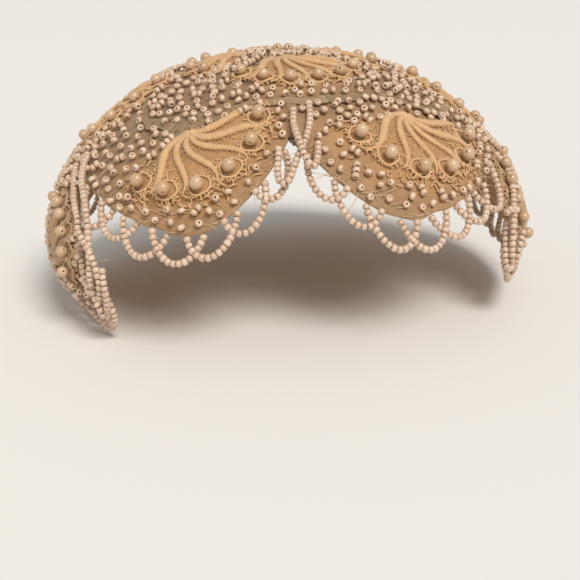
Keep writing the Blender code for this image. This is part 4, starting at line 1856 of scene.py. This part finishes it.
@dataclass(frozen=True)
class SeedBeads:
    """The seed beads sewn over the crown and the petals, alone or in short rows."""

    radius: float = 1.45 * MM
    hole: float = 0.36 * MM
    length: float = 1.95 * MM
    tries: int = 42000
    dense: float = 3.05 * MM
    sparse: float = 3.9 * MM
    row_step: float = 2.15 * MM
    border: float = 1.6 * MM
    sink: float = 0.1 * MM

    def gaps(self, ring: Array, polar: Array) -> Array:
        """The least distance between beads: wider on the lower part of the front petals.

        Args:
            ring: Ring angles.
            polar: Angles from the top.

        Returns:
            Distances.
        """
        front = 1 - smooth(58, 68, np.abs(ring))
        low = smooth(40, 50, polar) * front
        return self.dense + (self.sparse - self.dense) * low

    def homes(self, ring: Array, polar: Array) -> Array:
        """The number of the petal that each place lies on, -1 on the crown and -2 off the cloth.

        Args:
            ring: Ring angles.
            polar: Angles from the top.

        Returns:
            The numbers.
        """
        home = np.where(polar < LAYERS.petal_root - 1.0, -1, -2)
        home = np.where(NOTCH_NET.holds(ring, polar), 1, home)
        for number, petal in enumerate(PETALS):
            share = petal.share(ring, polar)
            inset = np.degrees(self.border / (DOME.half_depth * np.sin(np.radians(np.maximum(polar, 5))))) \
                / abs(petal.end - petal.start)
            low = petal.edge(np.clip(share, 0, 1)) - 1.3
            inside = (share > inset) & (share < 1 - inset) & (polar > LAYERS.petal_root + 1.0) & (polar < low)
            home = np.where(inside, number, home)
        return home

    def free(self, ring: Array, polar: Array) -> Array:
        """Whether places are clear of the fans and of the bare band.

        Args:
            ring: Ring angles.
            polar: Angles from the top.

        Returns:
            True where they are clear.
        """
        clear = np.abs(polar - band_depth(ring)) > 1.1
        spots = DOME.point(ring, polar, LAYERS.petal_top + self.length / 2)
        for line in (line for strands in STRANDS for line in strands.lines()):
            away = np.linalg.norm(spots[..., None, :] - line[::6], axis=-1).min(axis=-1)
            clear &= away > 1.9 * self.radius
        for fan in FANS:
            clear &= ~fan.covers(ring, polar, self.radius)
        return clear

    def sites(self) -> tuple[Array, Array, Array, Array]:
        """Where the beads go.

        Places are drawn evenly over the dome, each for one bead or a row of two or three. A place is
        kept if all its beads lie on one piece of cloth, clear of the lace and of the beads before it.

        Returns:
            Ring angles, angles from the top, homes, and each bead's turn in the cloth, which is -1
            for a bead that lies flat.
        """
        random = np.random.default_rng(SEED)
        ring = random.uniform(-180, 180, self.tries)
        polar = np.degrees(np.arccos(random.uniform(np.cos(np.radians(99)), 1, self.tries)))
        polar = np.where(random.uniform(size=self.tries) < 0.5, polar, np.minimum(polar, 78))
        number = random.choice([1, 2, 3], self.tries, p=[0.66, 0.22, 0.12])
        turn = random.uniform(0, np.pi, self.tries)
        offsets = np.array([0.0, 1.0, -1.0]) * self.row_step
        across, down = offsets * np.cos(turn)[:, None], offsets * np.sin(turn)[:, None]
        along, fall, _ = DOME.directions(ring, polar)
        points = (DOME.point(ring, polar, 0)[:, None] + across[..., None] * along[:, None]
                  + down[..., None] * fall[:, None])
        rings, polars = DOME.place(points)
        points = DOME.point(rings, polars, 0)
        homes = self.homes(rings, polars)
        good = (homes > -2) & self.free(rings, polars) & (homes == homes[:, :1])
        used = np.arange(3) < number[:, None]
        whole = (good | ~used).all(axis=1)
        gaps = self.gaps(rings, polars)
        kept, chosen = np.empty((6000, 3)), []
        count = 0
        for index in np.flatnonzero(whole):
            fresh = points[index, :number[index]]
            apart = np.linalg.norm(kept[:count, None] - fresh, axis=-1)
            if count and (apart < gaps[index, :number[index]]).any():
                continue
            kept[count:count + number[index]] = fresh
            count += number[index]
            chosen += [(index, bead) for bead in range(number[index])]
        rows, columns = np.array(chosen).T
        lying = np.where(number[rows] > 1, turn[rows], -1)
        return rings[rows, columns], polars[rows, columns], homes[rows, columns], lying

    def build(self, finishes: Finishes) -> list[Object]:
        """Make one piece of beads for the crown and one for each petal.

        Args:
            finishes: The materials.

        Returns:
            The pieces.
        """
        ring, polar, home, lying = self.sites()
        random = np.random.default_rng(SEED + 1)
        count = len(ring)
        along, down, out = DOME.directions(ring, polar)
        low = (np.abs(ring) < 66) & (polar > 50)
        tilt = np.where(random.uniform(size=count) < np.where(low, 0.35, 0.68),
                        random.uniform(0.1, 0.6, count), random.uniform(0.8, 1.4, count))
        tilt = np.where(lying >= 0, random.uniform(1.2, np.pi / 2, count), tilt)
        turn = np.where(lying >= 0, lying + random.normal(0, 0.12, count), random.uniform(0, TURN, count))
        flat = np.cos(turn)[:, None] * along + np.sin(turn)[:, None] * down
        axes = np.cos(tilt)[:, None] * out + np.sin(tilt)[:, None] * flat
        floor = np.where(home < 0, LAYERS.crown_top, LAYERS.petal_top)
        seat = self.length / 2 * np.cos(tilt) + self.radius * np.sin(tilt)
        places = DOME.point(ring, polar, floor + seat - self.sink)
        tints, scales = random.uniform(0, 1, count), random.uniform(0.9, 1.05, count)
        shape = bead_shape(self.radius, self.hole, self.length, sides=8)
        made = []
        for number in range(-1, len(PETALS)):
            mine = home == number
            name = "crown" if number < 0 else PETALS[number].name
            patch = stamped(shape, places[mine], axes[mine], tints[mine], scales[mine])
            made.append(make_piece(name + "_seed_beads", patch, [finishes.seed]))
        return made


# Sequins and loose threads


@dataclass(frozen=True)
class Ribbon:
    """The grey band: lengths of flat ribbon, each with an end lapped over the next."""

    half_width: float = 2.0 * MM
    thick: float = 0.22 * MM
    length: float = 27
    lap: float = 4

    def build(self, finishes: Finishes) -> Object:
        """Make the lengths: strips along the band that wander and tilt by slow waves.

        Args:
            finishes: The materials.

        Returns:
            The band as one piece.
        """
        patches = []
        random = np.random.default_rng(SEED + 8)
        t, across = np.meshgrid(np.linspace(0, 1, 34), np.linspace(-1, 1, 7), indexing="ij")
        for start in np.arange(-180, 180, self.length):
            ring = start + t * (self.length + self.lap)
            shift, turn = random.uniform(-0.5, 0.5), random.uniform(-1.3, 1.3)
            middle = band_depth(ring) + shift + turn * (t - 0.5) + 0.35 * ripple(ring / 12, 0 * ring, 6)
            width = self.half_width * random.uniform(0.8, 1.15) * (1 + 0.12 * ripple(ring / 8, 0 * ring, 9))
            polar = middle + np.degrees(across * width / DOME.half_depth)
            curl = 0.25 * across ** 2 + 0.14 * ripple(ring / 4, across, 14)
            high = LAYERS.petal_top + (0.5 + 0.35 * smooth(0.85, 1, t) + 0.3 * curl) * MM
            outer, inner = DOME.point(ring, polar, high), DOME.point(ring, polar, high - self.thick)
            patch = shell(outer, inner, np.stack([t, across], axis=-1) * self.half_width)
            rim = smooth(0.9, 1, np.abs(across)) * 0.7 + smooth(0.93, 0.97, t)
            patch = patch.marked("tint", random.uniform(0, 1))
            patches.append(patch.marked("rim", np.tile(np.clip(rim, 0, 1).reshape(-1), 2)))
        return make_piece("band_ribbon", joined(patches), [finishes.film])


@dataclass(frozen=True)
class Sequins:
    """Thin flat discs sewn beside the band above the front fans, lapped over each other."""

    radius: float = 2.6 * MM
    thick: float = 0.09 * MM
    rows: tuple[tuple[float, float, float, float], ...] = (
        (-52, -26, 44, 38), (-46, -30, 47.5, 42), (52, 62, 44, 46))

    def build(self, finishes: Finishes) -> Object:
        """Make the rows, each from a ring angle to another and from an angle from the top to another.

        Args:
            finishes: The materials.

        Returns:
            The sequins as one piece.
        """
        profile = np.array([[0.15 * self.radius, self.thick], [0.86 * self.radius, self.thick],
                            [self.radius, 0.4 * self.thick], [self.radius, -0.4 * self.thick],
                            [0.86 * self.radius, -self.thick], [0.15 * self.radius, -self.thick]])
        sides = 18
        shape = revolved(profile, sides, np.zeros(len(profile)))
        shape = shape.marked("rim", np.tile([0, 0, 1, 1, 0, 0], sides))
        ring, polar = (np.concatenate([np.linspace(row[at], row[at + 1], int(abs(row[1] - row[0]) // 2.6))
                                       for row in self.rows]) for at in (0, 2))
        random = np.random.default_rng(SEED + 8)
        along, _, out = DOME.directions(ring, polar)
        axes = out + 0.14 * along + random.normal(0, 0.05, along.shape)
        places = DOME.point(ring, polar, LAYERS.petal_top + 0.5 * MM)
        patch = stamped(shape, places, axes, random.uniform(0, 1, len(ring)),
                        random.uniform(0.8, 1.15, len(ring)))
        return make_piece("band_sequins", patch, [finishes.film])


@dataclass(frozen=True)
class LooseThreads:
    """Fine thread ends that stray from a petal's hem."""

    petal: Petal
    count: int = 64
    shortest: float = 2.5 * MM
    longer: float = 17 * MM
    thread: float = 0.17 * MM

    def build(self, finishes: Finishes) -> Object:
        """Make the threads: arcs that leave the hem at a low angle and lift a little.

        Args:
            finishes: The materials.

        Returns:
            The threads as one piece.
        """
        random = np.random.default_rng(SEED + int(self.petal.start) + self.petal.side)
        share = random.uniform(0.04, 0.96, (self.count, 1))
        polar = self.petal.edge(share) - random.uniform(0.3, 3.5, (self.count, 1))
        ring = self.petal.ring(share, polar)
        t = np.linspace(0, 1, 9)
        heading = random.uniform(0, TURN, (self.count, 1)) + random.uniform(-0.8, 0.8, (self.count, 1)) * t
        length = self.shortest + self.longer * random.uniform(0, 1, (self.count, 1)) ** 2.6
        x = np.cumsum(np.cos(heading), axis=1) * length / len(t)
        y = 0.55 * np.cumsum(np.sin(heading), axis=1) * length / len(t)
        along, down, out = DOME.directions(ring, polar)
        lift = LAYERS.petal_top + (0.25 + 0.7 * t * random.uniform(0, 1, (self.count, 1))) * MM
        flat = DOME.point(ring, polar, 0) + x[..., None] * along + y[..., None] * down
        paths = DOME.point(*DOME.place(flat), lift)
        thin = np.broadcast_to(self.thread * (1 - 0.4 * t), x.shape)
        strands = tubes(paths, np.broadcast_to(out, paths.shape), thin, thin, sides=4)
        return make_piece(self.petal.name + "_threads", strands, [finishes.thread])


# Floor, light and camera


class Light(Enum):
    """Kinds of lamp: a square near the hat, or a broad far source that lights the floor evenly."""

    SQUARE = "AREA"
    FAR = "SUN"


@dataclass(frozen=True)
class Lamp:
    """A soft light that faces the hat. Size is metres for a square and radians for a far source."""

    name: str
    kind: Light
    place: Colour
    size: float
    power: float
    color: Colour = (1.0, 0.95, 0.89)

    def build(self, target: Vector) -> None:
        """Hang the lamp and turn it to the target.

        Args:
            target: What it faces.
        """
        data = bpy.data.lights.new(self.name, self.kind.value)
        setattr(data, "angle" if self.kind is Light.FAR else "size", self.size)
        data.energy, data.color = self.power, self.color
        lamp = bpy.data.objects.new(self.name, data)
        lamp.location = self.place
        lamp.rotation_euler = (target - Vector(self.place)).to_track_quat("-Z", "Y").to_euler()
        bpy.context.scene.collection.objects.link(lamp)


@dataclass(frozen=True)
class Studio:
    """The floor under the hat, the lights, the surroundings and the camera."""

    camera_place: Colour = (0, -0.444, 0.0535)
    pitch_down: float = 19
    roll: float = -1.2
    focal_pixels: float = 1083
    frame_pixels: float = 580
    centre_pixels: float = 288
    sensor: float = 36
    floor_size: float = 6.0
    lamps: tuple[Lamp, ...] = (
        Lamp("key_light", Light.FAR, (0.34, -0.72, 0.88), 0.45, 2.45),
        Lamp("fill_light", Light.SQUARE, (-0.9, -0.7, 0.25), 0.7, 0.7),
    )

    def build_floor(self, level: float) -> None:
        """A pale floor just under the lowest beads.

        Args:
            level: The height of the lowest beads.
        """
        half = self.floor_size / 2
        mesh = bpy.data.meshes.new("floor")
        mesh.from_pydata([(-half, -half, level), (half, -half, level), (half, half, level),
                          (-half, half, level)], [], [(0, 1, 2, 3)])
        floor = bpy.data.objects.new("floor", mesh)
        material = bpy.data.materials.new("floor")
        material.use_nodes = True
        shader = material.node_tree.nodes["Principled BSDF"]
        preset(shader, Base_Color=(0.86, 0.85, 0.83, 1), Roughness=0.9)
        mesh.materials.append(material)
        bpy.context.scene.collection.objects.link(floor)
        floor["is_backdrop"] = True

    def build_light(self, target: Vector) -> None:
        """The lamps and an even pale surrounding.

        Args:
            target: What the lamps face.
        """
        for lamp in self.lamps:
            lamp.build(target)
        world = bpy.data.worlds.new("studio")
        world.use_nodes = True
        background = world.node_tree.nodes["Background"]
        preset(background, Color=(1.0, 0.98, 0.95, 1), Strength=0.42)
        bpy.context.scene.world = world

    def build_camera(self) -> None:
        """The camera at the photograph's angle and framing."""
        data = bpy.data.cameras.new("camera")
        data.sensor_width = self.sensor
        data.lens = self.focal_pixels / self.frame_pixels * self.sensor
        data.shift_x = (self.frame_pixels / 2 - self.centre_pixels) / self.frame_pixels
        data.clip_start = 0.01
        camera = bpy.data.objects.new("camera", data)
        tip = Matrix.Rotation(np.radians(90 - self.pitch_down), 4, "X")
        camera.matrix_world = (Matrix.Translation(self.camera_place) @ tip
                               @ Matrix.Rotation(np.radians(self.roll), 4, "Z"))
        bpy.context.scene.collection.objects.link(camera)
        bpy.context.scene.camera = camera


def main() -> None:
    """Build the hat's pieces in order, then the studio round their bounds."""
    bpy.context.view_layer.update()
    finishes = Finishes()
    Crown().build(finishes)
    for petal in PETALS:
        PetalCloth(petal).build(finishes)
        Fringe(petal).build(finishes)
        LooseThreads(petal).build(finishes)
    for strands in STRANDS:
        strands.build(finishes)
    for fan in FANS:
        FanLace(fan).build(finishes)
        Pearls(fan).build(finishes)
    TopPearls().build(finishes)
    NOTCH_NET.build(finishes)
    BACK_NET.build(finishes)
    Ribbon().build(finishes)
    Sequins().build(finishes)
    SeedBeads().build(finishes)
    low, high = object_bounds()
    studio = Studio()
    studio.build_floor(low.z)
    studio.build_light((low + high) / 2)
    studio.build_camera()
    bpy.context.scene.view_settings.view_transform = "Standard"


if __name__ == "__main__":
    main()
